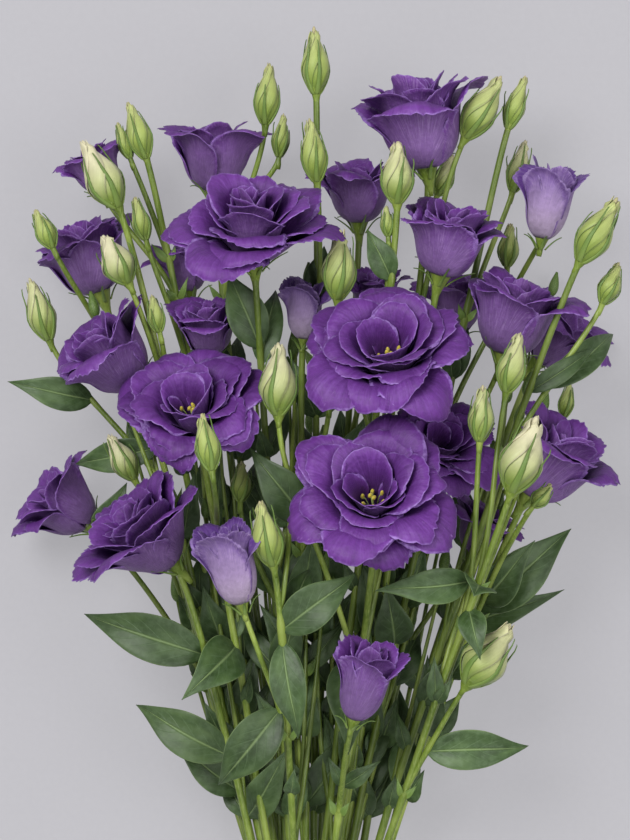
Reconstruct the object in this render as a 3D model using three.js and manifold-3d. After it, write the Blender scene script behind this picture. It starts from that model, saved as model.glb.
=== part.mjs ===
// A cut bunch of purple double lisianthus, lying on its back on a flat surface.
// Millimetres, +Z up. +Y runs from the cut stem ends to the flowers, and +Z is the side that faces the viewer.
// The origin is the middle of the flat spot under the tie, where the bunch touches the surface.
// Flower heads are given on the "sheet": x to the right and y up, counted from the middle of the picture's foot,
// with z the height above the surface that the bunch lies on.

import * as THREE from 'three';
import Module from 'manifold-3d';
import { mergeVertices } from 'three/addons/utils/BufferGeometryUtils.js';

const wasm = await Module();
wasm.setup();

// Driving sizes
const TIE = { stemPitch: 4.5, rowPitch: 4.35, inner: 15.9, wall: 1.9, width: 10, sides: 16 };
const SHEET = { x: 2, y: 120 }; // from the tie to the middle of the picture's foot
const STEM = { foot: -100, footSpread: 1.05, radius: 2.3, neck: 1.6, sides: 5, steps: 4 };
const SIDE_STEM = { radius: 1.5, neck: 1.3, sides: 5, steps: 2 };
const SEPAL = { length: 13, lift: 2.2, count: 5 };
const SEAT_GAP = 0.3; // between a receptacle and its flower
const PETAL = { thickness: 0.9, lap: 0.04, wave: 0.035, split: 0.4 }; // lap and wave are shares of the radius
const LEAF = { thickness: 0.8, arch: 0.16, fold: 0.22 };

const MATERIALS = {
  petal: new THREE.MeshStandardMaterial({ color: 0x5b2f93, roughness: 0.62, metalness: 0 }),
  green: new THREE.MeshStandardMaterial({ color: 0x6f8f3c, roughness: 0.55, metalness: 0 }),
  stamen: new THREE.MeshStandardMaterial({ color: 0xd8c63a, roughness: 0.6, metalness: 0 }),
  tie: new THREE.MeshStandardMaterial({ color: 0xb79a6b, roughness: 0.9, metalness: 0 }),
};

// How a flower's petals stand. Each whorl has its petal count, its length as a share of the flower's radius, and
// the angles from the flower's axis at the petal's root, middle and rim. Cells are the facets across and along it.
// The heart is the closed middle, given as radius and height shares of the flower's radius.
const FORMS = {
  open: {
    height: 0.95,
    whorls: [
      { count: 5, length: 1.3, angles: [55, 40, 105], cells: [2, 3] },
      { count: 5, length: 1.18, angles: [45, 26, 76], cells: [2, 2] },
      { count: 4, length: 1.0, angles: [32, 14, 50], cells: [2, 1] },
    ],
    heart: [],
  },
  rose: {
    height: 1.0,
    whorls: [
      { count: 5, length: 1.35, angles: [55, 38, 105], cells: [2, 3] },
      { count: 5, length: 1.25, angles: [44, 24, 66], cells: [2, 2] },
      { count: 4, length: 1.12, angles: [32, 10, 32], cells: [2, 1] },
    ],
    heart: [[0.1, 0.4], [0.19, 0.85], [0.1, 1.1]],
  },
  goblet: {
    height: 1.4,
    whorls: [
      { count: 5, length: 1.85, angles: [45, 15, 92], cells: [2, 2] },
      { count: 4, length: 1.62, angles: [32, 8, 48], cells: [2, 1] },
    ],
    heart: [[0.1, 0.5], [0.2, 1.1], [0.1, 1.5]],
  },
  far: {
    height: 1.4,
    whorls: [
      { count: 5, length: 1.8, angles: [45, 17, 80], cells: [2, 2] },
    ],
    heart: [[0.32, 1.1], [0.2, 1.35]],
  },
  cup: {
    height: 2.3,
    whorls: [{ count: 4, length: 2.45, angles: [62, 4, 26], cells: [2, 2] }],
    heart: [[0.25, 0.7], [0.42, 1.6], [0.16, 2.3]],
  },
};

// Flowers: centre on the sheet, radius, lean to the right of straight up, and how far the face turns to the viewer.
const FLOWERS = {
  bloom_01: { at: [-31.5, 305, 105], radius: 39, lean: -4, face: 34, form: 'rose' },
  bloom_02: { at: [36.5, 243, 118], radius: 39, lean: -8, face: 48, form: 'open' },
  bloom_03: { at: [28, 172.5, 130], radius: 40, lean: -8, face: 54, form: 'open' },
  bloom_04: { at: [-61, 214.5, 108], radius: 37, lean: -12, face: 42, form: 'open' },
  bloom_05: { at: [-103.5, 243.5, 74.2], radius: 30, lean: -40, face: 20, form: 'goblet' },
  bloom_06: { at: [-82, 150, 96], radius: 34, lean: -42, face: 28, form: 'rose' },
  bloom_07: { at: [-41, 139, 122], radius: 18, lean: -14, face: 12, form: 'cup' },
  bloom_08: { at: [53.5, 358, 66], radius: 31, lean: -8, face: 8, form: 'goblet' },
  bloom_09: { at: [67.5, 301, 82], radius: 28, lean: 14, face: 16, form: 'goblet' },
  bloom_10: { at: [118, 321, 62], radius: 17.5, lean: 10, face: 5, form: 'cup', via: [104, 280, 22] },
  bloom_11: { at: [99.5, 263, 82], radius: 30, lean: 14, face: 10, form: 'goblet' },
  bloom_12: { at: [126, 253, 18.3], radius: 25, lean: 42, face: 10, form: 'far' },
  bloom_13: { at: [119.5, 189.5, 67.7], radius: 31, lean: 34, face: 12, form: 'goblet' },
  bloom_14: { at: [63, 197, 87], radius: 28, lean: 12, face: 46, form: 'open' },
  bloom_15: { at: [-51, 345, 40], radius: 27, lean: 0, face: 4, form: 'far' },
  bloom_16: { at: [-117, 295, 24.7], radius: 30, lean: -20, face: 6, form: 'goblet' },
  bloom_17: { at: [-112, 338, 48], radius: 18, lean: -20, face: 6, form: 'far' },
  bloom_18: { at: [-53.5, 257, 69], radius: 20, lean: -6, face: 24, form: 'goblet' },
  bloom_19: { at: [22.5, 327, 38], radius: 24, lean: 0, face: 10, form: 'far' },
  bloom_20: { at: [-128.5, 167.5, 36], radius: 25, lean: -52, face: 10, form: 'far' },
  bloom_21: { at: [-5, 266, 74], radius: 13.5, lean: 4, face: 8, form: 'cup' },
  bloom_22: { at: [25, 81.5, 114], radius: 18.5, lean: 16, face: 16, form: 'cup' },
  bloom_23: { at: [30, 276, 55], radius: 18, lean: -4, face: 20, form: 'far' },
  bloom_24: { at: [73, 270, 30], radius: 21, lean: 6, face: 8, form: 'far' },
  bloom_25: { at: [85, 155, 46], radius: 19, lean: 24, face: 14, form: 'far' },
  bloom_26: { at: [-66, 289, 32], radius: 19, lean: -10, face: 8, form: 'far' },
};

// Buds: centre on the sheet, length, thickness, lean and face.
const BUDS = {
  bud_01: { at: [0, 391.5, 72], length: 34, width: 15, lean: -2, face: 4 },
  bud_02: { at: [-24, 376, 52], length: 31, width: 14, lean: 4, face: 4 },
  bud_03: { at: [-17, 355, 50], length: 22, width: 9, lean: 6, face: 0 },
  bud_04: { at: [-1, 346, 80], length: 32, width: 14, lean: -7, face: 6 },
  bud_06: { at: [12, 288, 100], length: 35, width: 18, lean: 2, face: 10 },
  bud_07: { at: [-18, 231, 122], length: 36, width: 20, lean: 0, face: 8 },
  bud_08: { at: [-53, 200, 150], length: 28, width: 13, lean: -10, face: 4 },
  bud_09: { at: [-24, 155, 128], length: 33, width: 17, lean: -12, face: 10 },
  bud_10: { at: [-108, 334, 80], length: 38, width: 20, lean: -28, face: 8 },
  bud_11: { at: [-90, 357, 60], length: 30, width: 13, lean: -18, face: 4 },
  bud_12: { at: [-97, 352, 56], length: 19, width: 8, lean: -20, face: 2 },
  bud_14: { at: [-88, 312, 72], length: 22, width: 10, lean: -15, face: 4 },
  bud_15: { at: [-137, 307, 64], length: 21, width: 11, lean: -25, face: 4 },
  bud_16: { at: [-140, 267, 49], length: 33, width: 15, lean: -18, face: 2 },
  bud_17: { at: [-100, 291, 86], length: 27, width: 18, lean: -28, face: 8 },
  bud_18: { at: [-80, 264, 80], length: 19, width: 9, lean: -12, face: 4 },
  bud_19: { at: [-98, 192, 66], length: 26, width: 14, lean: -30, face: 6 },
  bud_20: { at: [41, 334, 94], length: 31, width: 18, lean: 0, face: 8 },
  bud_21: { at: [36, 310, 88], length: 15, width: 7, lean: -4, face: 4 },
  bud_22: { at: [85, 368, 72], length: 36, width: 18, lean: 30, face: 6 },
  bud_23: { at: [102, 371, 62], length: 28, width: 11, lean: 18, face: 4 },
  bud_24: { at: [104, 340, 40], length: 27, width: 12, lean: 14, face: 4 },
  bud_25: { at: [141, 305, 106], length: 37, width: 18, lean: 30, face: 6 },
  bud_26: { at: [148, 279, 88], length: 22, width: 12, lean: 22, face: 4 },
  bud_27: { at: [98, 239, 112], length: 30, width: 15, lean: 12, face: 8 },
  bud_28: { at: [82, 214, 120], length: 28, width: 13, lean: 3, face: 8 },
  bud_29: { at: [103, 194, 128], length: 40, width: 23, lean: 18, face: 10 },
  bud_30: { at: [87, 94, 96], length: 38, width: 24, lean: 35, face: 10 },
  bud_31: { at: [128, 221, 46], length: 18, width: 8, lean: 10, face: 4 },
  bud_32: { at: [99, 300, 32], length: 22, width: 11, lean: 4, face: 4 },
  bud_33: { at: [66, 335, 50], length: 22, width: 11, lean: 20, face: 4 },
  bud_35: { at: [-37, 180, 84], length: 20, width: 11, lean: 2, face: 6 },
  bud_36: { at: [8, 227, 78], length: 18, width: 10, lean: 4, face: 6 },
  bud_38: { at: [113, 173, 108], length: 14, width: 9, lean: 40, face: 6 },
};

// The cut stems in five rows, from the back of the bunch to the front, and left to right in each row.
// A stem ends in its first head. Each further head stands on a side stem that leaves it at that height on the sheet.
const ROWS = [
  [
    ['bloom_16', ['bloom_20', 70], ['bud_15', 225]],
    ['bloom_15', ['bloom_26', 215], ['bud_02', 270], ['bud_03', 300]],
    ['bloom_19', ['bloom_23', 185]],
    ['bloom_24', ['bloom_25', 70]],
    ['bloom_12', ['bud_31', 150], ['bud_32', 190]],
  ],
  [
    ['bud_10', ['bud_17', 215], ['bud_18', 200]],
    ['bud_11', ['bloom_18', 160], ['bud_12', 290], ['bud_14', 225], ['bloom_17', 270]],
    ['bud_01', ['bud_04', 235]],
    ['bloom_08', ['bud_33', 245], ['bud_22', 235]],
    ['bud_23', ['bloom_11', 150], ['bloom_10', 200], ['bud_24', 260]],
  ],
  [
    ['bloom_05', ['bud_16', 165], ['bud_19', 110]],
    ['bloom_01'],
    ['bloom_21', ['bud_36', 140], ['bud_35', 80]],
    ['bloom_09'],
    ['bloom_13', ['bud_38', 105]],
  ],
  [
    ['bloom_04', ['bud_08', 140]],
    ['bud_20', ['bud_21', 250]],
    ['bloom_14'],
    ['bud_25', ['bud_26', 190]],
  ],
  [
    ['bloom_06'],
    ['bud_09', ['bloom_07', 50]],
    ['bloom_03', ['bud_07', 75], ['bloom_22', 10]],
    ['bloom_02', ['bud_06', 170]],
    ['bud_29', ['bud_28', 105], ['bud_27', 125], ['bud_30', 20]],
  ],
];

// Leaves: the head whose stem carries the leaf, the height where it leaves, the tip on the sheet, and the width.
const LEAVES = [
  { on: 'bud_16', from: 220, tip: [-155, 230, 58], width: 14 },
  { on: 'bloom_05', from: 196, tip: [-123, 188, 42], width: 14 },
  { on: 'bloom_20', from: 150, tip: [-97, 178, 44], width: 16 },
  { on: 'bloom_01', from: 246, tip: [-45, 284, 74], width: 17 },
  { on: 'bloom_01', from: 238, tip: [-18, 276, 62], width: 13 },
  { on: 'bud_07', from: 160, tip: [-33, 195, 112], width: 18 },
  { on: 'bud_09', from: 106, tip: [21, 133, 112], width: 18 },
  { on: 'bud_09', from: 108, tip: [-3, 137, 92], width: 12 },
  { on: 'bud_09', from: 100, tip: [-6, 52, 106], width: 15 },
  { on: 'bud_07', from: 90, tip: [17, 44, 96], width: 21 },
  { on: 'bloom_07', from: 66, tip: [-49, 27, 84], width: 20 },
  { on: 'bloom_06', from: 92, tip: [-117, 112, 66], width: 20 },
  { on: 'bloom_04', from: 96, tip: [-66, 72, 92], width: 20 },
  { on: 'bloom_06', from: 40, tip: [-90, 68, 50], width: 19 },
  { on: 'bloom_05', from: 20, tip: [-72, 49, 40], width: 15 },
  { on: 'bloom_14', from: 96, tip: [35, 127, 70], width: 17 },
  { on: 'bud_28', from: 130, tip: [30, 128, 118], width: 15 },
  { on: 'bud_27', from: 128, tip: [78, 124, 122], width: 16 },
  { on: 'bud_29', from: 116, tip: [82, 92, 116], width: 12 },
  { on: 'bloom_13', from: 118, tip: [108, 150, 76], width: 17 },
  { on: 'bloom_13', from: 114, tip: [129, 156, 52], width: 21 },
  { on: 'bloom_12', from: 100, tip: [127, 121, 34], width: 15 },
  { on: 'bud_30', from: 44, tip: [108, 44, 70], width: 17 },
  { on: 'bud_25', from: 66, tip: [70, 92, 60], width: 13 },
  { on: 'bud_25', from: 224, tip: [140, 247, 80], width: 9 },
  { on: 'bud_26', from: 226, tip: [151, 256, 52], width: 13 },
  { on: 'bud_20', from: 280, tip: [25, 305, 86], width: 12 },
  { on: 'bud_01', from: 270, tip: [6, 298, 56], width: 13 },
  { on: 'bloom_19', from: 120, tip: [-4, 160, 30], width: 17 },
  { on: 'bloom_24', from: 150, tip: [52, 175, 28], width: 15 },
  { on: 'bloom_15', from: 150, tip: [-66, 190, 30], width: 17 },
];

const rad = THREE.MathUtils.degToRad;
const vec = (x, y, z) => new THREE.Vector3(x, y, z);
const onSheet = ([x, y, z]) => vec(x + SHEET.x, y + SHEET.y, z);

// A repeatable draw from -1 to 1 for the numbers given.
function draw(a, b, c) {
  const s = Math.sin(a * 12.9898 + b * 78.233 + c * 37.719) * 43758.5453;
  return (s - Math.floor(s)) * 2 - 1;
}

function axisOf({ lean, face }) {
  const l = rad(lean);
  const f = rad(face);
  return vec(Math.sin(l) * Math.cos(f), Math.cos(l) * Math.cos(f), Math.sin(f));
}

// The head's own frame: out along its axis, and two sides, the second one turned away from the viewer.
function frameOf(axis) {
  const right = axis.clone().cross(vec(0, 0, 1)).normalize();
  const front = right.clone().cross(axis).negate();
  return { axis, right, front };
}

// Grows one closed mesh out of points, strips between rings, and fans over the end rings.
class Skin {
  points = [];
  index = [];

  add(points) {
    this.points.push(...points);
    return points.map((_, k) => this.points.length - points.length + k);
  }

  triangle(a, b, c) {
    this.index.push(a, b, c);
  }

  quad(a, b, c, d) {
    this.triangle(a, b, c);
    this.triangle(a, c, d);
  }

  // Joins two closed rings, which may differ in their number of points, at the points that face the same way.
  join(a, b) {
    const [middleA, middleB] = [a, b].map((ring) =>
      ring.reduce((sum, id) => sum.add(this.points[id]), vec(0, 0, 0)).divideScalar(ring.length),
    );
    const outward = this.points[a[0]].clone().sub(middleA).normalize();
    const facing = b.map((id) => this.points[id].clone().sub(middleB).normalize().dot(outward));
    const first = facing.indexOf(Math.max(...facing));
    const at = (ring, k, shift) => ring[(k + shift) % ring.length];
    let i = 0;
    let j = 0;
    while (i < a.length || j < b.length) {
      if (j === b.length || (i < a.length && (i + 1) / a.length <= (j + 1) / b.length)) {
        this.triangle(at(a, i, 0), at(a, i + 1, 0), at(b, j, first));
        i += 1;
      } else {
        this.triangle(at(a, i, 0), at(b, j + 1, first), at(b, j, first));
        j += 1;
      }
    }
  }

  strip(a, b) {
    for (let k = 0; k + 1 < a.length; k++) this.quad(a[k], a[k + 1], b[k + 1], b[k]);
  }

  cap(ring, up) {
    for (let k = 1; k + 1 < ring.length; k++) {
      this.triangle(ring[0], ring[up ? k : k + 1], ring[up ? k + 1 : k]);
    }
  }

  solid() {
    const vertProperties = new Float32Array(this.points.flatMap((p) => [p.x, p.y, p.z]));
    const triVerts = new Uint32Array(this.index);
    const solid = new wasm.Manifold(new wasm.Mesh({ numProp: 3, vertProperties, triVerts }));
    if (solid.volume() > 0) return solid;
    return new wasm.Manifold(new wasm.Mesh({ numProp: 3, vertProperties, triVerts: triVerts.reverse() }));
  }
}

// A tube through stations. A station has a point, a radius, and where it matters a direction and a point count.
// The odd points of its ring can stand further out, and further along.
function tube(stations, sides) {
  const skin = new Skin();
  let side = vec(1, 0, 0);
  const rings = stations.map(({ point, radius, along, count = sides, odd = radius, lift = 0 }, i) => {
    const before = stations[Math.max(i - 1, 0)].point;
    const after = stations[Math.min(i + 1, stations.length - 1)].point;
    const direction = along ?? after.clone().sub(before).normalize();
    side = side.clone().addScaledVector(direction, -side.dot(direction)).normalize();
    const other = direction.clone().cross(side);
    return skin.add(
      Array.from({ length: count }, (_, k) => {
        const turn = (2 * Math.PI * k) / count;
        const out = k % 2 ? odd : radius;
        return point
          .clone()
          .addScaledVector(side, out * Math.cos(turn))
          .addScaledVector(other, out * Math.sin(turn))
          .addScaledVector(direction, k % 2 ? lift : 0);
      }),
    );
  });
  skin.cap(rings[0], false);
  for (let r = 0; r + 1 < rings.length; r++) skin.join(rings[r], rings[r + 1]);
  skin.cap(rings[rings.length - 1], true);
  return skin.solid();
}

// The angle from the axis that runs smoothly through three given angles.
function angleAt(angles, s) {
  return angles[0] * (1 - s) * (1 - 2 * s) + angles[1] * 4 * s * (1 - s) + angles[2] * s * (2 * s - 1);
}

// A petal's rise, walked from root to rim along that angle.
function profile(length, angles, share) {
  const steps = 16;
  let out = 0;
  let up = 0;
  for (let k = 0; k < steps; k++) {
    const angle = rad(angleAt(angles, ((k + 0.5) / steps) * share));
    out += (Math.sin(angle) * length * share) / steps;
    up += (Math.cos(angle) * length * share) / steps;
  }
  return { out, up, angle: rad(angleAt(angles, share)) };
}

// One flower in one skin. It climbs the outside of a whorl, splits into petals above their joined roots, comes
// down the inside, and goes on with the next whorl, so each layer of petals stands free of the others.
function flower(id) {
  const { radius, form } = FLOWERS[id];
  const { whorls, heart } = FORMS[form];
  const number = Number(id.slice(-2));
  const { axis, right, front } = frameOf(axisOf(FLOWERS[id]));
  const base = baseOf(id);
  const size = Math.min(1, radius / 30);
  const skin = new Skin();
  const at = (out, up, turn) =>
    base
      .clone()
      .addScaledVector(axis, up)
      .addScaledVector(right, out * Math.cos(turn))
      .addScaledVector(front, out * Math.sin(turn));
  const ringAt = (count, turn, place) =>
    skin.add(Array.from({ length: count }, (_, k) => at(...place(k), turn + (2 * Math.PI * k) / count)));

  let last = ringAt(5, 0, () => [4 * size, 0]);
  skin.cap(last, false);
  whorls.forEach(({ count, length, angles, cells: [across, along] }, w) => {
    const jitter = (k, channel) => draw(number, w * 10 + k, channel);
    const turn = number * 0.7 + (Math.PI * w) / count;
    const sector = (2 * Math.PI) / count;
    const root = [(6.6 - 1.3 * w) * size, (1.3 + 1.0 * w) * size];
    const half = PETAL.thickness / 2;
    const place = (k, s, t, face) => {
      const own = Math.max(0, s - PETAL.split) / (1 - PETAL.split);
      const long = length * (radius - 6 * size) * (1 + 0.04 * jitter(k, 1) * own);
      const bent = angles.map((a, i) => a + (i === 2 ? 7 * jitter(k, 2) * own : 0));
      const { out, up, angle } = profile(long, bent, s * (1 - 0.16 * t * t * own));
      const shift = PETAL.lap * radius * own * t + face * half;
      const wave = PETAL.wave * radius * own * Math.cos(2.5 * Math.PI * t + 3 * jitter(k, 3));
      const spread = 0.5 * sector * t * (1 - 0.03 * own - 0.14 * own * own);
      return at(
        root[0] + out + shift * Math.cos(angle),
        root[1] + up + wave - shift * Math.sin(angle),
        turn + sector * k + spread,
      );
    };
    const joined = (s, face) =>
      skin.add(
        Array.from({ length: count * across }, (_, c) =>
          place(Math.floor(c / across), s, (2 * (c % across)) / across - 1, face),
        ),
      );
    const [outRoot, outSplit, inSplit, inRoot] = [joined(0, 1), joined(PETAL.split, 1), joined(PETAL.split, -1), joined(0, -1)];
    skin.join(last, outRoot);
    skin.join(outRoot, outSplit);
    for (let k = 0; k < count; k++) {
      const cut = (ring) => Array.from({ length: across + 1 }, (_, c) => ring[(k * across + c) % ring.length]);
      const row = (i, face) => {
        const s = PETAL.split + ((1 - PETAL.split) * i) / along;
        return skin.add(Array.from({ length: across + 1 }, (_, c) => place(k, s, (2 * c) / across - 1, face)));
      };
      const outer = [cut(outSplit)];
      const inner = [cut(inSplit)];
      for (let i = 1; i <= along; i++) {
        outer.push(row(i, 1));
        inner.push(row(i, -1));
      }
      for (let i = 0; i < along; i++) {
        skin.strip(outer[i], outer[i + 1]);
        skin.strip(inner[i + 1], inner[i]);
        skin.quad(outer[i][0], outer[i + 1][0], inner[i + 1][0], inner[i][0]);
        skin.quad(outer[i][across], inner[i][across], inner[i + 1][across], outer[i + 1][across]);
      }
      skin.strip(outer[along], inner[along]);
    }
    skin.join(inSplit, inRoot);
    last = inRoot;
  });
  heart.forEach(([out, up], r) => {
    const ring = ringAt(6, 0.3 * r, (k) => [out * radius * (k % 2 ? 1.15 : 0.9), up * radius]);
    skin.join(last, ring);
    last = ring;
  });
  skin.cap(last, true);
  return skin.solid();
}

// The point where a head's stem ends.
function baseOf(id) {
  if (id in FLOWERS) {
    const { at, radius, form } = FLOWERS[id];
    return onSheet(at).addScaledVector(axisOf(FLOWERS[id]), -0.5 * FORMS[form].height * radius);
  }
  const { at, length } = BUDS[id];
  return onSheet(at).addScaledVector(axisOf(BUDS[id]), -0.5 * length);
}

function bezier(p0, p1, p2, p3) {
  return new THREE.CubicBezierCurve3(p0, p1, p2, p3);
}

// The line of a stem into its head. It comes in along the head's axis, or by way of the head's own via point.
function lineInto(id, start, leave, reachShare) {
  const head = FLOWERS[id] ?? BUDS[id];
  const end = baseOf(id);
  const reach = end.distanceTo(start);
  const arrive = Math.min(0.27 * reach, 42) * (1 - Math.abs(head.lean) / 80);
  return bezier(
    start,
    start.clone().addScaledVector(leave, reachShare * reach),
    head.via ? onSheet(head.via) : end.clone().addScaledVector(axisOf(head), -arrive),
    end,
  );
}

function mainLine(id, slot) {
  const start = vec(slot.x, TIE.width, slot.z);
  const fan = baseOf(id).sub(start).normalize();
  return lineInto(id, start, fan.multiplyScalar(0.75).add(vec(0, 0.25, 0)).normalize(), 0.3);
}

function sideLine(id, parent, height) {
  const { point, along } = pointAtHeight(parent, height);
  return lineInto(id, point, baseOf(id).sub(point).normalize().add(along).normalize(), 0.35);
}

// Where a stem's line passes a height on the sheet.
function pointAtHeight(line, height) {
  const y = height + SHEET.y;
  let low = 0;
  let high = 1;
  for (let k = 0; k < 40; k++) {
    const middle = (low + high) / 2;
    if (line.getPoint(middle).y < y) low = middle;
    else high = middle;
  }
  return { point: line.getPoint(low), along: line.getTangent(low).normalize() };
}

// The stations of a stem along its line, going over into a receptacle with spread sepals or into a closed bud.
function stationsAlong(line, id, from, to, steps) {
  const flowering = id in FLOWERS;
  const head = FLOWERS[id] ?? BUDS[id];
  const axis = axisOf(head);
  const end = baseOf(id);
  const seat = (up, radius, rest) => ({ point: end.clone().addScaledVector(axis, up), radius, along: axis, ...rest });
  const stations = [];
  for (let k = 0; k < steps; k++) {
    stations.push({ point: line.getPoint(k / steps), radius: from + ((to - from) * k) / steps });
  }
  if (flowering) {
    const size = Math.min(1, head.radius / 28);
    const double = 2 * SEPAL.count;
    stations.push(seat(-7, to));
    stations.push(seat(-3.4, 2.6 * size, { count: double }));
    stations.push(seat(-1.8, 3.4 * size, { count: double, odd: SEPAL.length * size, lift: SEPAL.lift * size }));
    stations.push(seat(-SEAT_GAP, 3.9 * size, { count: SEPAL.count }));
    return stations;
  }
  const { length, width } = head;
  const large = width > 12;
  const ring = (up, share) => {
    const ribbed = { count: 2 * SEPAL.count, odd: 0.86 * share * width };
    return seat(up * length, share * width, large ? ribbed : {});
  };
  stations.push(seat(-3, to));
  stations.push(ring(0.14, 0.45), ring(0.48, 0.48));
  stations.push(seat(length, 0.07 * width + 0.4));
  return stations;
}

// A leaf: an arched blade, pointed at both ends and folded a little along its middle, with its root in the stem.
// Its upper face is turned to the viewer.
function leaf({ tip, width }, start) {
  const end = onSheet(tip);
  const along = end.clone().sub(start);
  const side = along.clone().cross(vec(0, 0, 1)).normalize();
  const up = side.clone().cross(along).normalize();
  const lift = up.clone().multiplyScalar(LEAF.arch * along.length());
  const skin = new Skin();
  const at = (s, t, wide, face) =>
    start
      .clone()
      .addScaledVector(along, s)
      .addScaledVector(lift, 4 * s * (1 - s))
      .addScaledVector(side, 0.5 * wide * t)
      .addScaledVector(up, 0.5 * LEAF.fold * wide * Math.abs(t) + (face * LEAF.thickness) / 2);
  const shape = width > 18 ? [[0.22, 0.7], [0.5, 1], [0.78, 0.6]] : [[0.3, 0.9], [0.65, 0.85]];
  const sheet = (face) => ({
    root: skin.add([at(0, 0, 0, face)])[0],
    rows: shape.map(([s, wide]) => skin.add([-1, 0, 1].map((t) => at(s, t, width * wide, face)))),
    tip: skin.add([at(1, 0, 0, face)])[0],
  });
  const [top, under] = [sheet(1), sheet(-1)];
  [[top, false], [under, true]].forEach(([{ root, rows, tip: point }, flip]) => {
    const tri = (a, b, c) => (flip ? skin.triangle(a, c, b) : skin.triangle(a, b, c));
    const last = rows[rows.length - 1];
    for (let c = 0; c < 2; c++) {
      tri(root, rows[0][c + 1], rows[0][c]);
      rows.slice(1).forEach((row, r) => {
        tri(rows[r][c], rows[r][c + 1], row[c + 1]);
        tri(rows[r][c], row[c + 1], row[c]);
      });
      tri(last[c], last[c + 1], point);
    }
  });
  const rim = ({ root, rows, tip: point }) => [root, ...rows.map((r) => r[2]), point, ...rows.map((r) => r[0]).reverse()];
  const [above, below] = [rim(top), rim(under)];
  above.forEach((a, k) => {
    const next = (k + 1) % above.length;
    skin.quad(above[next], a, below[k], below[next]);
  });
  return skin.solid();
}

// The place of each stem in the tie. Each row lies half a pitch beside the one before.
function slotsOf(rows) {
  return rows.map((row, r) => {
    const shift = (r % 2 && row.length % 2 ? 0.25 : -0.25) * TIE.stemPitch;
    return row.map((_, c) => ({
      x: (c - (row.length - 1) / 2) * TIE.stemPitch + shift,
      z: tieHeight + (r - (rows.length - 1) / 2) * TIE.rowPitch,
    }));
  });
}

const tieHeight = (TIE.inner + TIE.wall) * Math.cos(Math.PI / TIE.sides);

// One cut stem with its side stems, buds, leaves, receptacles and sepals, fused in one green body.
function spray([mainHead, ...sideHeads], slot) {
  const lines = { [mainHead]: mainLine(mainHead, slot) };
  const foot = vec(slot.x * STEM.footSpread, STEM.foot, tieHeight + (slot.z - tieHeight) * STEM.footSpread);
  const upward = vec(0, 1, 0);
  const parts = [
    tube(
      [
        { point: foot, radius: STEM.radius, along: upward },
        { point: vec(slot.x, -TIE.width, slot.z), radius: STEM.radius, along: upward },
        ...stationsAlong(lines[mainHead], mainHead, STEM.radius, STEM.neck, STEM.steps),
      ],
      STEM.sides,
    ),
  ];
  sideHeads.forEach(([id, height]) => {
    const line = sideLine(id, lines[mainHead], height);
    lines[id] = line;
    parts.push(tube(stationsAlong(line, id, SIDE_STEM.radius, SIDE_STEM.neck, SIDE_STEM.steps), SIDE_STEM.sides));
  });
  LEAVES.filter(({ on }) => on in lines).forEach((each) =>
    parts.push(leaf(each, pointAtHeight(lines[each.on], each.from).point)),
  );
  return wasm.Manifold.union(parts);
}

// The stamens and pistil of an open flower, standing on its floor: a stalk with spread anthers and a stigma on top.
function stamens(id) {
  const { radius, form } = FLOWERS[id];
  const axis = axisOf(FLOWERS[id]);
  const size = Math.min(1, radius / 30);
  const floor = baseOf(id).addScaledVector(axis, (1.3 + FORMS[form].whorls.length - 1) * size + 0.7);
  const station = (up, thick, rest) => ({
    point: floor.clone().addScaledVector(axis, up),
    radius: thick,
    along: axis,
    ...rest,
  });
  const anthers = { count: 10, odd: 5, lift: 4 };
  return tube([station(0, 2), station(4, 1.3), station(6, 1.4, anthers), station(9, 1.1), station(12, 2)], 5);
}

// The tie: a band round the bunch. Its lowest facet is the flat spot that the bunch rests on.
function tie() {
  const outer = TIE.inner + TIE.wall;
  const half = TIE.width / 2;
  const corners = [[TIE.inner, -half], [outer, -half], [outer, half], [TIE.inner, half], [TIE.inner, -half]];
  const geometry = new THREE.LatheGeometry(
    corners.map(([r, y]) => new THREE.Vector2(r, y)),
    TIE.sides,
    Math.PI / TIE.sides,
  );
  geometry.deleteAttribute('normal');
  geometry.deleteAttribute('uv');
  geometry.translate(0, 0, tieHeight);
  const merged = mergeVertices(geometry, 1e-4);
  const solid = (triVerts) =>
    new wasm.Manifold(
      new wasm.Mesh({ numProp: 3, vertProperties: new Float32Array(merged.attributes.position.array), triVerts }),
    );
  const triVerts = new Uint32Array(merged.index.array);
  return solid(triVerts).volume() > 0 ? solid(triVerts) : solid(triVerts.reverse());
}

// A mesh of the largest body in a solid, so that no loose scrap stays with it.
function toMesh(name, solid, material) {
  const bodies = solid.decompose();
  const body = bodies.reduce((a, b) => (a.volume() > b.volume() ? a : b)).simplify(0.05);
  const { vertProperties, triVerts } = body.getMesh();
  const geometry = new THREE.BufferGeometry();
  geometry.setAttribute('position', new THREE.BufferAttribute(vertProperties, 3));
  geometry.setIndex(new THREE.BufferAttribute(triVerts, 1));
  geometry.computeVertexNormals();
  const mesh = new THREE.Mesh(geometry, material);
  mesh.name = name;
  return mesh;
}

const bunch = new THREE.Group();
const slots = slotsOf(ROWS);
let stemNumber = 0;
ROWS.forEach((row, r) =>
  row.forEach((heads, c) => {
    stemNumber += 1;
    const name = `stem_${String(stemNumber).padStart(2, '0')}`;
    bunch.add(toMesh(name, spray(heads, slots[r][c]), MATERIALS.green));
  }),
);
Object.keys(FLOWERS).forEach((id) => bunch.add(toMesh(id, flower(id), MATERIALS.petal)));
['bloom_02', 'bloom_03', 'bloom_04'].forEach((id) =>
  bunch.add(toMesh(`stamens_${id.slice(-2)}`, stamens(id), MATERIALS.stamen)),
);
bunch.add(toMesh('tie', tie(), MATERIALS.tie));

export default bunch;
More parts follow.
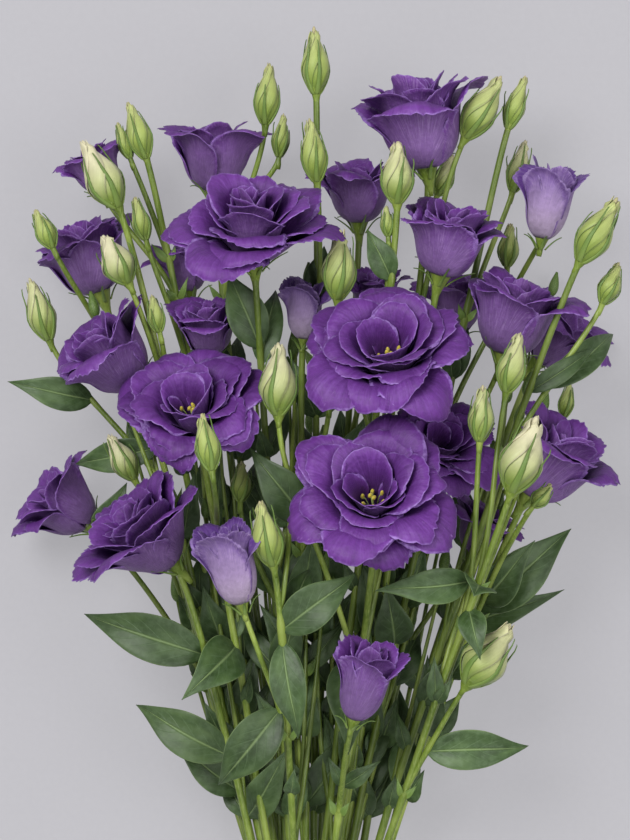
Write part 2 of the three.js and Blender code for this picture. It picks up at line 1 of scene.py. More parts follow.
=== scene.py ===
# A cut bunch of purple double lisianthus lying on its back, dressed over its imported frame.
# The tables and dictionaries are in millimetres and degrees, the meshes in metres. +Y runs from the cut
# ends to the flowers, and +Z faces the camera.
import bpy
import math
import numpy as np
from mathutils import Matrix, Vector


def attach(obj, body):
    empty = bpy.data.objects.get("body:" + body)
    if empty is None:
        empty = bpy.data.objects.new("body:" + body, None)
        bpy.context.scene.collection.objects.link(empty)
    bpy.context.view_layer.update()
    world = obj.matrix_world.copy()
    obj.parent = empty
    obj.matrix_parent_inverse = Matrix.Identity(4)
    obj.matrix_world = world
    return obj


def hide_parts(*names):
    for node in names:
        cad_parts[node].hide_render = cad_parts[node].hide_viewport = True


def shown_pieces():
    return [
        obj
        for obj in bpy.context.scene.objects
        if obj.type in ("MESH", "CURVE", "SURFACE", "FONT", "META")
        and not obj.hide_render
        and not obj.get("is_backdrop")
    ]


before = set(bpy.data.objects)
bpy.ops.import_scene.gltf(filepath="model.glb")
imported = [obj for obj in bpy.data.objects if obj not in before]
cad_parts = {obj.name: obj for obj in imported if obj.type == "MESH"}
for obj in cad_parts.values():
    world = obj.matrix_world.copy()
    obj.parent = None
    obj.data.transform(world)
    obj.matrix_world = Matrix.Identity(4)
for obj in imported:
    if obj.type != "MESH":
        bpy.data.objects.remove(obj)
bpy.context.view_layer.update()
print("frame loaded")

# Camera

cameraSetup = {
    "centre": (2, 330), "level": 85, "distance": 2500, "height": 420, "sensor": 24, "farthest": 20000,
}


def makeCamera():
    # Looks straight down from far away, so that its image is the given height at the level of the flowers.
    lens = bpy.data.cameras.new("camera")
    lens.sensor_fit = "VERTICAL"
    lens.sensor_height = cameraSetup["sensor"]
    lens.lens = cameraSetup["sensor"] * cameraSetup["distance"] / cameraSetup["height"]
    lens.clip_end = cameraSetup["farthest"] / 1000
    camera = bpy.data.objects.new("camera", lens)
    x, y = cameraSetup["centre"]
    camera.location = (x / 1000, y / 1000, (cameraSetup["level"] + cameraSetup["distance"]) / 1000)
    bpy.context.scene.collection.objects.link(camera)
    bpy.context.scene.camera = camera


makeCamera()
print("camera placed")

# Tables of the bunch, the same places as in its CAD frame. Heads, side stems and leaves are placed on the
# "sheet": x to the right and y up, counted from the middle of the picture's foot, with z the height above
# the floor.

sheetPlace = np.array([2.0, 120.0, 0.0])
tieSetup = {"stemPitch": 4.5, "rowPitch": 4.35, "inner": 15.9, "wall": 1.9, "width": 10, "sides": 16}

# Flowers: centre, radius, lean to the right of straight up, how far the face turns to the camera, and form.
flowers = {
    "bloom_01": ((-31.5, 305, 105), 39, -4, 30, "rose"),
    "bloom_02": ((36.5, 243, 118), 39, -8, 44, "open"),
    "bloom_03": ((28, 172.5, 130), 40, -8, 54, "open"),
    "bloom_04": ((-61, 214.5, 108), 37, -12, 42, "open"),
    "bloom_05": ((-103.5, 243.5, 74.2), 30, -40, 20, "goblet"),
    "bloom_06": ((-82, 150, 96), 34, -44, 20, "bowl"),
    "bloom_07": ((-41, 139, 122), 18, -14, 12, "cup"),
    "bloom_08": ((53.5, 358, 66), 31, -8, 8, "goblet"),
    "bloom_09": ((67.5, 301, 82), 28, 14, 16, "goblet"),
    "bloom_10": ((118, 321, 62), 17.5, 10, 5, "cup"),
    "bloom_11": ((99.5, 263, 82), 30, 14, 10, "goblet"),
    "bloom_12": ((126, 253, 18.3), 25, 42, 10, "far"),
    "bloom_13": ((119.5, 189.5, 67.7), 31, 34, 12, "goblet"),
    "bloom_14": ((63, 197, 87), 28, 12, 46, "open"),
    "bloom_15": ((-51, 345, 40), 27, 0, 4, "far"),
    "bloom_16": ((-117, 295, 24.7), 30, -20, 6, "goblet"),
    "bloom_17": ((-112, 338, 48), 18, -20, 6, "far"),
    "bloom_18": ((-53.5, 257, 69), 20, -6, 24, "goblet"),
    "bloom_19": ((22.5, 327, 38), 24, 0, 10, "far"),
    "bloom_20": ((-128.5, 167.5, 36), 25, -52, 10, "far"),
    "bloom_21": ((-5, 266, 74), 13.5, 4, 8, "cup"),
    "bloom_22": ((25, 81.5, 114), 18.5, 16, 16, "cup"),
    "bloom_23": ((30, 276, 55), 18, -4, 20, "far"),
    "bloom_24": ((73, 270, 30), 21, 6, 8, "far"),
    "bloom_25": ((85, 155, 46), 19, 24, 14, "far"),
    "bloom_26": ((-66, 289, 32), 19, -10, 8, "far"),
}
# Buds: centre, length, thickness, lean and face.
buds = {
    "bud_01": ((0, 391.5, 72), 34, 15, -2, 4),
    "bud_02": ((-24, 376, 52), 31, 14, 4, 4),
    "bud_03": ((-17, 355, 50), 22, 9, 6, 0),
    "bud_04": ((-1, 346, 80), 32, 14, -7, 6),
    "bud_06": ((12, 288, 100), 35, 18, 2, 10),
    "bud_07": ((-18, 231, 122), 36, 20, 0, 8),
    "bud_08": ((-53, 200, 150), 28, 13, -10, 4),
    "bud_09": ((-24, 155, 128), 33, 17, -12, 10),
    "bud_10": ((-108, 334, 80), 38, 20, -28, 8),
    "bud_11": ((-90, 357, 60), 30, 13, -18, 4),
    "bud_12": ((-97, 352, 56), 19, 8, -20, 2),
    "bud_14": ((-88, 312, 72), 22, 10, -15, 4),
    "bud_15": ((-137, 307, 64), 21, 11, -25, 4),
    "bud_16": ((-140, 267, 49), 33, 15, -18, 2),
    "bud_17": ((-100, 291, 86), 27, 18, -28, 8),
    "bud_18": ((-80, 264, 80), 19, 9, -12, 4),
    "bud_19": ((-98, 192, 66), 26, 14, -30, 6),
    "bud_20": ((41, 334, 94), 31, 18, 0, 8),
    "bud_21": ((36, 310, 88), 15, 7, -4, 4),
    "bud_22": ((85, 368, 72), 36, 18, 30, 6),
    "bud_23": ((102, 371, 62), 28, 11, 18, 4),
    "bud_24": ((104, 340, 40), 27, 12, 14, 4),
    "bud_25": ((141, 305, 106), 37, 18, 30, 6),
    "bud_26": ((148, 279, 88), 22, 12, 22, 4),
    "bud_27": ((98, 239, 112), 30, 15, 12, 8),
    "bud_28": ((82, 214, 120), 28, 13, 3, 8),
    "bud_29": ((103, 194, 128), 40, 23, 18, 10),
    "bud_30": ((87, 94, 96), 38, 24, 35, 10),
    "bud_31": ((128, 221, 46), 18, 8, 10, 4),
    "bud_32": ((99, 300, 32), 22, 11, 4, 4),
    "bud_33": ((66, 335, 50), 22, 11, 20, 4),
    "bud_35": ((-37, 180, 84), 20, 11, 2, 6),
    "bud_36": ((8, 227, 78), 18, 10, 4, 6),
    "bud_38": ((113, 173, 108), 14, 9, 40, 6),
}
# The cut stems in five rows, from the back to the front, and left to right in each row. A stem ends in its
# first head, and each further head stands on a side stem that leaves it at that height on the sheet.
stemRows = [
    [
        ["bloom_16", ["bloom_20", 70], ["bud_15", 225]],
        ["bloom_15", ["bloom_26", 215], ["bud_02", 270], ["bud_03", 300]],
        ["bloom_19", ["bloom_23", 185]],
        ["bloom_24", ["bloom_25", 70]],
        ["bloom_12", ["bud_31", 150], ["bud_32", 190]],
    ],
    [
        ["bud_10", ["bud_17", 215], ["bud_18", 200]],
        ["bud_11", ["bloom_18", 160], ["bud_12", 290], ["bud_14", 225], ["bloom_17", 270]],
        ["bud_01", ["bud_04", 235]],
        ["bloom_08", ["bud_33", 245], ["bud_22", 235]],
        ["bud_23", ["bloom_11", 150], ["bloom_10", 200], ["bud_24", 260]],
    ],
    [
        ["bloom_05", ["bud_16", 165], ["bud_19", 110]],
        ["bloom_01"],
        ["bloom_21", ["bud_36", 140], ["bud_35", 80]],
        ["bloom_09"],
        ["bloom_13", ["bud_38", 105]],
    ],
    [
        ["bloom_04", ["bud_08", 140]],
        ["bud_20", ["bud_21", 250]],
        ["bloom_14"],
        ["bud_25", ["bud_26", 190]],
    ],
    [
        ["bloom_06"],
        ["bud_09", ["bloom_07", 50]],
        ["bloom_03", ["bud_07", 75], ["bloom_22", 10]],
        ["bloom_02", ["bud_06", 170]],
        ["bud_29", ["bud_28", 105], ["bud_27", 125], ["bud_30", 20]],
    ],
]
# Leaves: the head whose stem carries the leaf, the height where it leaves, its tip, and its width.
leaves = [
    ("bud_16", 220, (-155, 230, 58), 14),
    ("bloom_05", 196, (-123, 188, 42), 14),
    ("bloom_20", 150, (-97, 178, 44), 16),
    ("bloom_01", 246, (-45, 284, 74), 17),
    ("bloom_01", 238, (-18, 276, 62), 13),
    ("bud_07", 160, (-33, 195, 112), 18),
    ("bud_09", 106, (21, 133, 112), 18),
    ("bud_09", 108, (-3, 137, 92), 12),
    ("bud_09", 100, (-6, 52, 106), 15),
    ("bud_07", 90, (17, 44, 96), 21),
    ("bloom_07", 66, (-49, 27, 84), 20),
    ("bloom_06", 92, (-117, 112, 66), 20),
    ("bloom_04", 96, (-66, 72, 92), 20),
    ("bloom_06", 40, (-90, 68, 50), 19),
    ("bloom_05", 20, (-72, 49, 40), 15),
    ("bloom_14", 96, (35, 127, 70), 17),
    ("bud_28", 130, (30, 128, 118), 15),
    ("bud_27", 128, (78, 124, 122), 16),
    ("bud_29", 116, (82, 92, 116), 12),
    ("bloom_13", 118, (108, 150, 76), 17),
    ("bloom_13", 114, (129, 156, 52), 21),
    ("bloom_12", 100, (127, 121, 34), 15),
    ("bud_30", 44, (108, 44, 70), 17),
    ("bud_25", 66, (70, 92, 60), 13),
    ("bud_25", 224, (140, 247, 80), 9),
    ("bud_26", 226, (151, 256, 52), 13),
    ("bud_20", 280, (25, 305, 86), 12),
    ("bud_01", 270, (6, 298, 56), 13),
    ("bloom_19", 120, (-4, 160, 30), 17),
    ("bloom_24", 150, (52, 175, 28), 15),
    ("bloom_15", 150, (-66, 190, 30), 17),
]

# A stem that bends past its neighbours goes by way of a point of its own.
viaPoints = {"bloom_10": (104, 280, 22)}
tieHeight = (tieSetup["inner"] + tieSetup["wall"]) * math.cos(math.pi / tieSetup["sides"])

# Shapes on grids


def unit(v):
    # A vector over its own length.
    return v / (np.linalg.norm(v, axis=-1, keepdims=True) + 1e-12)


def ease(low, high, x):
    # 0 below low, 1 above high, and 3u^2 - 2u^3 between them.
    u = np.clip((x - low) / (high - low), 0, 1)
    return u * u * (3 - 2 * u)


def gridOf(rows, columns, hem=0.012, sideHem=0.012):
    # s in even steps from 0 to 1 along a blade, and t from -1 to 1 across it, each with one narrow step at
    # both ends that rounds the edge.
    steps = []
    for low, count, share in ((0, rows, hem), (-1, columns, sideHem)):
        inner = np.linspace(low, 1, count - 2)
        narrow = share * (inner[1] - inner[0])
        steps.append(np.concatenate([[low], [low + narrow], inner[1:-1], [1 - narrow], [1]]))
    return steps[0][None, :, None], steps[1][None, None, :]


def lengthAlong(path):
    # The length of a path from its start to each of its points.
    return np.concatenate([[0], np.cumsum(np.linalg.norm(np.diff(path, axis=0), axis=1))])


def throughThree(first, middle, last, s):
    # The quadratic in s that is first at 0, middle at a half and last at 1.
    return first * (1 - s) * (1 - 2 * s) + 4 * middle * s * (1 - s) + last * s * (2 * s - 1)


def walk(angle, steps):
    # How far out and up from its root a blade gets: the sums of sin and cos of its angle to the axis, taken
    # midway along each step, times the step.
    midway = 0.5 * (angle[:, :-1] + angle[:, 1:])
    root = np.zeros_like(angle[:, :1])
    return [np.concatenate([root, np.cumsum(f(midway) * steps, axis=1)], axis=1) for f in (np.sin, np.cos)]


def joined(front, back):
    # Two stacks of grids as one list of points, stack by stack.
    return np.concatenate([g.reshape(len(g), -1, 3) for g in (front, back)], axis=1).reshape(-1, 3)


class Skin:
    # Gathers closed surfaces into one mesh. Each point keeps its place on its own surface (across, along,
    # tone) and whether it is on the underside, which the materials read.
    def __init__(self):
        self.total = 0
        self.surfaces, self.faces = [], []

    def add(self, points, places, under, faces, kind):
        self.surfaces.append((points, places, under))
        for group in faces:
            loops = (group + self.total).ravel()
            self.faces.append((loops, np.full(len(group), group.shape[1]), np.full(len(group), kind)))
        self.total += len(points)

    def sheets(self, middle, across, along, tone, thickness, kind, plusSide=1):
        # Thin closed shells, one for each grid in middle. The front is half a thickness up the normal (across
        # crossed with along), the back half a thickness down it, and the two share the grid's border.
        count, rows, columns, _ = middle.shape
        normal = unit(np.cross(np.gradient(middle, axis=2), np.gradient(middle, axis=1)))
        half = 0.5 * thickness * normal[:, 1:-1, 1:-1]
        front = middle.copy()
        front[:, 1:-1, 1:-1] += half
        back = middle[:, 1:-1, 1:-1] - half
        parts = [np.broadcast_to(part, middle.shape[:3]) for part in (across, along, tone)]
        places = np.stack(parts, axis=-1)
        whole, inside = rows * columns, (rows - 2) * (columns - 2)
        under = np.tile(np.repeat([plusSide, 1 - plusSide], [whole, inside]), count)
        frontIds = np.arange(whole).reshape(rows, columns)
        backIds = frontIds.copy()
        backIds[1:-1, 1:-1] = whole + np.arange(inside).reshape(rows - 2, columns - 2)
        cells = lambda g: np.stack([g[:-1, :-1], g[:-1, 1:], g[1:, 1:], g[1:, :-1]], axis=-1).reshape(-1, 4)
        quads = np.concatenate([cells(frontIds), cells(backIds)[:, ::-1]])
        quads = (quads + (whole + inside) * np.arange(count)[:, None, None]).reshape(-1, 4)
        self.add(joined(front, back), joined(places, places[:, 1:-1, 1:-1]), under, [quads], kind)

    def tube(self, path, radius, sides, kind, tone=0.5, toward=(0, 0, 1)):
        # A closed tube: rings of the given radius across the path's direction, and a fan over each end.
        rings = len(path)
        tangent = unit(np.gradient(path, axis=0))
        side = unit(np.cross(tangent, np.array(toward, float)))
        other = np.cross(tangent, side)
        turn = 2 * np.pi * np.arange(sides) / sides
        radius = np.broadcast_to(np.asarray(radius, float).reshape(rings, -1), (rings, sides))[..., None]
        ring = side[:, None] * np.cos(turn)[None, :, None] + other[:, None] * np.sin(turn)[None, :, None]
        points = np.concatenate([(path[:, None] + radius * ring).reshape(-1, 3), path[:1], path[-1:]])
        along = lengthAlong(path)
        across = np.append(np.tile(np.cos(turn), rings), [0, 0])
        along = np.append(np.repeat(along, sides), along[[0, -1]])
        places = np.stack([across, along, np.full(len(points), tone)], axis=1)
        ids = np.arange(rings * sides).reshape(rings, sides)
        after = np.roll(ids, -1, axis=1)
        quads = np.stack([ids[:-1], after[:-1], after[1:], ids[1:]], axis=-1).reshape(-1, 4)
        foot = np.stack([np.full(sides, ids.size), after[0], ids[0]], axis=-1)
        head = np.stack([np.full(sides, ids.size + 1), ids[-1], after[-1]], axis=-1)
        self.add(points, places, np.zeros(len(points)), [quads, foot, head], kind)


def makePiece(name, skin, finishes, slotName, *nodes):
    # Puts the gathered arrays into one mesh that rides on the bunch and stands for its CAD nodes.
    points, places, under = [np.concatenate(part).astype(np.float64) for part in zip(*skin.surfaces)]
    loops, sizes, kinds = [np.concatenate(part).astype(np.int32) for part in zip(*skin.faces)]
    starts = (np.cumsum(sizes) - sizes).astype(np.int32)
    mesh = bpy.data.meshes.new(name)
    mesh.vertices.add(skin.total)
    mesh.vertices.foreach_set("co", (points / 1000).astype(np.float32).ravel())
    mesh.loops.add(len(loops))
    mesh.loops.foreach_set("vertex_index", loops)
    mesh.polygons.add(len(sizes))
    mesh.polygons.foreach_set("loop_start", starts)
    mesh.polygons.foreach_set("material_index", kinds)
    mesh.polygons.foreach_set("use_smooth", np.ones(len(sizes), bool))
    place = mesh.attributes.new("surfacePlace", "FLOAT_VECTOR", "POINT")
    place.data.foreach_set("vector", places.astype(np.float32).ravel())
    underside = mesh.attributes.new("underside", "FLOAT", "POINT")
    underside.data.foreach_set("value", under.astype(np.float32))
    mesh.update(calc_edges=True)
    for material in finishes:
        mesh.materials.append(material)
    piece = bpy.data.objects.new(name, mesh)
    bpy.context.scene.collection.objects.link(piece)
    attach(piece, "root")
    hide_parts(*nodes)


# Materials


def colour(code):
    # sRGB hex to linear: c/12.92 when dark, ((c + 0.055)/1.055)^2.4 otherwise.
    c = np.array([int(code[k : k + 2], 16) for k in (1, 3, 5)]) / 255
    return (*np.where(c <= 0.04045, c / 12.92, ((c + 0.055) / 1.055) ** 2.4), 1.0)


class Finish:
    # A material in the making: its nodes, its colour so far, and the place on the surface that it reads.
    def __init__(self, name, roughness, **sockets):
        self.material = bpy.data.materials.new(name)
        self.material.use_nodes = True
        self.tree = self.material.node_tree
        self.shader = self.tree.nodes["Principled BSDF"]
        for key, value in {"Roughness": roughness, **sockets}.items():
            self.shader.inputs[key.replace("_", " ")].default_value = value
        self.where = self.addNode("TexCoord").outputs["Object"]
        place = self.addNode("Attribute", attribute_name="surfacePlace").outputs["Vector"]
        self.across, self.along, self.tone = self.addNode("SeparateXYZ", {0: place}).outputs
        self.under = self.addNode("Attribute", attribute_name="underside").outputs["Fac"]

    def addNode(self, kind, inputs=None, **settings):
        node = self.tree.nodes.new("ShaderNode" + kind)
        for key, value in settings.items():
            setattr(node, key, value)
        for key, value in (inputs or {}).items():
            if isinstance(value, bpy.types.NodeSocket):
                self.tree.links.new(value, node.inputs[key])
            else:
                node.inputs[key].default_value = value
        return node

    def calculate(self, operation, first, second=0.0, third=0.0):
        return self.addNode("Math", {0: first, 1: second, 2: third}, operation=operation).outputs[0]

    def times(self, first, second):
        return self.calculate("MULTIPLY", first, second)

    def plus(self, total, value, share=1.0):
        # The total and a share of the value.
        return self.calculate("MULTIPLY_ADD", value, share, total)

    def spread(self, value, low, high, to=(0.0, 1.0)):
        # A value's range from low to high, brought to another range and held inside it.
        node = self.addNode("MapRange", {0: value, 1: low, 2: high, 3: to[0], 4: to[1]}, clamp=True)
        return node.outputs[0]

    def noiseOn(self, vector, scale, detail, roughness=0.5):
        inputs = {"Vector": vector, "Scale": scale, "Detail": detail, "Roughness": roughness}
        return self.addNode("TexNoise", inputs).outputs[0]

    def grains(self, size, detail=2.0, roughness=0.5):
        # Noise with grains of the given size in millimetres.
        return self.noiseOn(self.where, 1000 / size, detail, roughness)

    def fibres(self, across, often, detail=3.0, roughness=0.5):
        # Noise that runs along the surface and differs from one petal or leaf to the next. It changes as
        # often as the three numbers say: across, along, and with the tone.
        parts = [self.times(part, pace) for part, pace in zip((across, self.along, self.tone), often)]
        vector = self.addNode("CombineXYZ", dict(enumerate(parts))).outputs[0]
        return self.noiseOn(vector, 1.0, detail, roughness)

    def ramp(self, value, stops):
        # Starts the colour with a ramp over a value.
        node = self.addNode("ValToRGB", {0: value})
        for k, (spot, code) in enumerate(stops):
            element = node.color_ramp.elements[k] if k < 2 else node.color_ramp.elements.new(spot)
            element.position = spot
            element.color = colour(code)
        self.tint = node.outputs[0]

    def paint(self, share, code):
        # Lays a share of another colour over the colour so far.
        layers = {0: share, 6: self.tint, 7: colour(code)}
        self.tint = self.addNode("Mix", layers, data_type="RGBA").outputs[2]

    def paintOver(self, pattern, low, high, most, code):
        # Lays a colour where a pattern goes from low to high, up to the given share.
        self.paint(self.spread(pattern, low, high, (0.0, most)), code)

    def brighten(self, level):
        self.tint = self.addNode("HueSaturation", {"Color": self.tint, "Value": level}).outputs[0]

    def done(self, relief, depth):
        # Links the colour, and a relief of the given depth in millimetres.
        bump = self.addNode("Bump", {"Height": relief, "Distance": depth / 1000, "Strength": 1.0})
        self.tree.links.new(self.tint, self.shader.inputs["Base Color"])
        self.tree.links.new(bump.outputs[0], self.shader.inputs["Normal"])
        return self.material


# In the purple ramp the dark claw end is painted shade deep in the bloom; the lavender ramp's cream foot is
# its own colour.
petalFinish = {
    "purple": {
        "ramp": [(0.0, "#1a0a1e"), (0.28, "#381849"), (0.7, "#562873"), (0.982, "#643184"), (1.0, "#6f4694")],
        # The last ramp stop and the edge colour: a paler rim margin with a painted highlight.
        "vein": "#351a50", "light": "#7d52a4", "back": "#84629f", "edge": "#a486c6",
    },
    "lavender": {
        "ramp": [
            (0.0, "#c3c09c"), (0.16, "#baa8b6"), (0.46, "#9474b0"),
            (0.82, "#673f93"), (0.98, "#583180"), (1.0, "#694890"),
        ],
        # The last ramp stop and the edge colour: a paler rim margin with a painted highlight.
        "vein": "#664586", "light": "#b49cc4", "back": "#ac99b8", "edge": "#a892c4",
    },
    "sheen": "#b48fe0", "backVein": "#ad92be", "crepe": 2.4, "cloud": 14, "relief": 0.48,
    "veins": (20, 1.6, 37), "fineVeins": (62, 5.0, 53),
}


def petalMaterial(name, colours):
    # Soft satin petal: colour runs from claw to rim, the purple ramp's dark claw end painted shade deep in
    # the bloom, veins fan out along it, the torn rim shows pale in places as a paler margin with a painted
    # highlight, and the back is paler toward the claw and has paler veins.
    petal = Finish(
        name, 0.52, Sheen_Weight=0.06, Sheen_Roughness=0.4, Sheen_Tint=colour(petalFinish["sheen"]),
        Specular_IOR_Level=0.35,
    )
    fan, rim = petal.across, petal.along
    veins = petal.fibres(fan, petalFinish["veins"], 4.0, 0.6)
    fine = petal.fibres(fan, petalFinish["fineVeins"], 3.0, 0.65)
    crepe = petal.grains(petalFinish["crepe"], 3.0, 0.6)
    cloud = petal.grains(petalFinish["cloud"])
    petal.ramp(rim, colours["ramp"])
    petal.paintOver(veins, 0.5, 0.78, 0.3, colours["light"])
    petal.paintOver(veins, 0.5, 0.28, 0.3, colours["vein"])
    petal.paintOver(fine, 0.5, 0.75, 0.26, colours["light"])
    # Pale torn rim, in places: a paler margin with a painted highlight.
    paleRimAndHighlight = petal.times(petal.spread(rim, 0.985, 0.997), petal.spread(crepe, 0.42, 0.6, (0.05, 0.42)))
    petal.paint(paleRimAndHighlight, colours["edge"])
    petal.paint(petal.times(petal.under, petal.spread(rim, 0.95, 0.1, (0.15, 0.8))), colours["back"])
    backVeins = petal.times(petal.under, petal.spread(fine, 0.48, 0.74, (0.0, 0.36)))
    petal.paint(backVeins, petalFinish["backVein"])
    level = petal.spread(cloud, 0.3, 0.7, (0.86, 1.1))
    level = petal.plus(level, petal.spread(petal.tone, 0, 1, (-0.1, 0.1)))
    petal.brighten(petal.plus(level, petal.spread(crepe, 0.35, 0.65, (-0.08, 0.08))))
    relief = petal.plus(petal.plus(petal.times(veins, 0.5), fine, 0.6), crepe, 0.9)
    return petal.done(relief, petalFinish["relief"])


budFinish = {
    "ramp": [(0.0, "#5f7728"), (0.2, "#7d9239"), (0.5, "#97a653"), (0.85, "#a9b268"), (1.0, "#b3a77c")],
    "vein": "#73903a", "edge": "#6d5560", "cream": "#cfc8a8", "cloud": 6, "veins": (9, 1.3, 41),
    "relief": 0.3,
}


def budMaterial():
    # A bud's wrapped petals: green at the foot, cream above by the share in tone, with fine green veins and
    # a thin purple-brown edge.
    bud = Finish("budPetal", 0.5, Sheen_Weight=0.2, Sheen_Roughness=0.5, Specular_IOR_Level=0.4)
    veins = bud.fibres(bud.across, budFinish["veins"])
    bud.ramp(bud.along, budFinish["ramp"])
    bud.paintOver(veins, 0.5, 0.75, 0.85, budFinish["vein"])
    edge = bud.times(bud.spread(bud.across, 0.9, 1.0), bud.spread(bud.tone, 0.0, 1.0, (0.35, 0.9)))
    bud.paint(bud.times(edge, bud.spread(bud.along, 0.15, 0.6)), budFinish["edge"])
    bud.paint(bud.times(bud.spread(bud.along, 0.15, 0.7, (0.0, 0.85)), bud.tone), budFinish["cream"])
    bud.brighten(bud.spread(bud.grains(budFinish["cloud"]), 0.3, 0.7, (0.9, 1.06)))
    return bud.done(veins, budFinish["relief"])


stemFinish = {
    "ramp": [(0.3, "#53691d"), (0.5, "#72882e"), (0.72, "#9aab50")], "streak": "#a6b466", "shade": "#33460f",
    "streaks": (0.9, 30, 0.9), "patches": 22, "relief": 0.12,
}


def stemMaterial():
    # Smooth green stem with long fine streaks and a slight bloom of wax, darker where its tone is low.
    stem = Finish("greenStem", 0.42, Specular_IOR_Level=0.45, Coat_Weight=0.08, Coat_Roughness=0.35)
    scale = [1000 / size for size in stemFinish["streaks"]]
    long = stem.addNode("VectorMath", {0: stem.where, 1: scale}, operation="MULTIPLY").outputs[0]
    streaks = stem.noiseOn(long, 1.0, 3.0)
    stem.ramp(stem.grains(stemFinish["patches"]), stemFinish["ramp"])
    stem.paintOver(streaks, 0.45, 0.75, 0.5, stemFinish["streak"])
    stem.paint(stem.spread(stem.tone, 0.0, 1.0, (0.75, 0.0)), stemFinish["shade"])
    return stem.done(streaks, stemFinish["relief"])


leafFinish = {
    "ramp": [(0.3, "#263918"), (0.5, "#344a23"), (0.72, "#495f34")], "mottle": "#657b59", "sheen": "#cfe0cc",
    "sideVein": "#69825c", "rib": "#869c66", "under": "#6d875f", "veinBow": 0.32, "veinPace": 44.0,
    "mottleSize": 3.5, "patches": (1.2, 2.4, 29), "relief": 0.35,
}


def leafMaterial():
    # Grey-green waxy leaf: pale midrib and margin, faint side veins that bow to the tip, and a paler
    # underside.
    leaf = Finish(
        "greenLeaf", 0.48, Specular_IOR_Level=0.4, Sheen_Weight=0.05, Sheen_Tint=colour(leafFinish["sheen"])
    )
    out = leaf.calculate("ABSOLUTE", leaf.across)
    rib = leaf.spread(out, 0.09, 0.02)
    bow = leaf.calculate("SUBTRACT", leaf.along, leaf.times(out, leafFinish["veinBow"]))
    wave = leaf.calculate("SINE", leaf.times(bow, leafFinish["veinPace"]))
    sideVeins = leaf.times(leaf.spread(wave, 0.86, 1.0), leaf.spread(out, 0.95, 0.3))
    mottle = leaf.grains(leafFinish["mottleSize"], 4.0, 0.6)
    leaf.ramp(leaf.fibres(leaf.across, leafFinish["patches"], 2.0), leafFinish["ramp"])
    leaf.paintOver(mottle, 0.42, 0.7, 0.26, leafFinish["mottle"])
    leaf.paint(leaf.times(sideVeins, 0.18), leafFinish["sideVein"])
    lines = leaf.calculate("MAXIMUM", rib, leaf.spread(out, 0.95, 1.0))
    leaf.paint(leaf.times(lines, 0.5), leafFinish["rib"])
    leaf.paint(leaf.times(leaf.under, 0.5), leafFinish["under"])
    leaf.brighten(leaf.spread(leaf.tone, 0, 1, (0.78, 1.22)))
    grooves = leaf.plus(leaf.times(sideVeins, 0.22), rib, 1.2)
    return leaf.done(leaf.calculate("SUBTRACT", leaf.times(mottle, 0.25), grooves), leafFinish["relief"])


sepalFinish = {
    "ramp": [(0.0, "#7d9348"), (0.4, "#5f7a35"), (1.0, "#4f6a2c")], "fibre": "#889c55",
    "fibres": (6, 1.5, 31), "relief": 0.2,
}


def sepalMaterial():
    # Thin fresh green sepals and bracts, paler toward the foot.
    sepal = Finish("greenSepal", 0.45, Specular_IOR_Level=0.4)
    fibres = sepal.fibres(sepal.across, sepalFinish["fibres"])
    sepal.ramp(sepal.along, sepalFinish["ramp"])
    sepal.paintOver(fibres, 0.45, 0.75, 0.6, sepalFinish["fibre"])
    return sepal.done(fibres, sepalFinish["relief"])


stamenFinish = {
    "ramp": [(0.3, "#9d8a20"), (0.55, "#cbb935"), (0.8, "#e2d765")], "stalk": "#93a548",
    "grains": 0.5, "relief": 0.2,
}


def stamenMaterial():
    # Powdery yellow anthers and stigma. Tone below a half is their green stalks.
    stamen = Finish("pollenYellow", 0.7, Sheen_Weight=0.3)
    pollen = stamen.grains(stamenFinish["grains"])
    stamen.ramp(pollen, stamenFinish["ramp"])
    stamen.paintOver(stamen.tone, 0.55, 0.45, 1.0, stamenFinish["stalk"])
    return stamen.done(pollen, stamenFinish["relief"])


juteFinish = {
    "ramp": [(0.3, "#7f6337"), (0.5, "#a98b58"), (0.72, "#cdb485")],
    "slant": (2.0, 2.4), "fibres": (1.6, 0.25, 1), "relief": 0.35,
}


def twineMaterial():
    # Twisted jute: two plies with slanting fibres and loose pale hairs.
    jute = Finish("juteTwine", 0.85, Sheen_Weight=0.25)
    around, along = juteFinish["slant"]
    slant = jute.plus(jute.times(jute.across, around), jute.along, along)
    fibres = jute.fibres(slant, juteFinish["fibres"], 4.0, 0.65)
    jute.ramp(fibres, juteFinish["ramp"])
    return jute.done(fibres, juteFinish["relief"])


materials = {
    "purple": petalMaterial("petalPurple", petalFinish["purple"]),
    "lavender": petalMaterial("petalLavender", petalFinish["lavender"]),
    "bud": budMaterial(),
    "stem": stemMaterial(),
    "leaf": leafMaterial(),
    "sepal": sepalMaterial(),
    "stamen": stamenMaterial(),
    "twine": twineMaterial(),
}
print("materials made")

# Blooms. A form has its height for its radius, how much its petals stray (wild), how far the outer ones hang
# on the low side, how much shorter the inner ones are there (lop), how far an edge rises over the next petal
# (lap), how wide petals are for their share of the ring (overlap), and the share of that width at the claw.
# A whorl has its petal count, its length as a share of the bloom's reach, the angles from the bloom's axis at
# root, middle and rim, the height of its ruffles, the roll of its rim, and its grid along and across a petal.

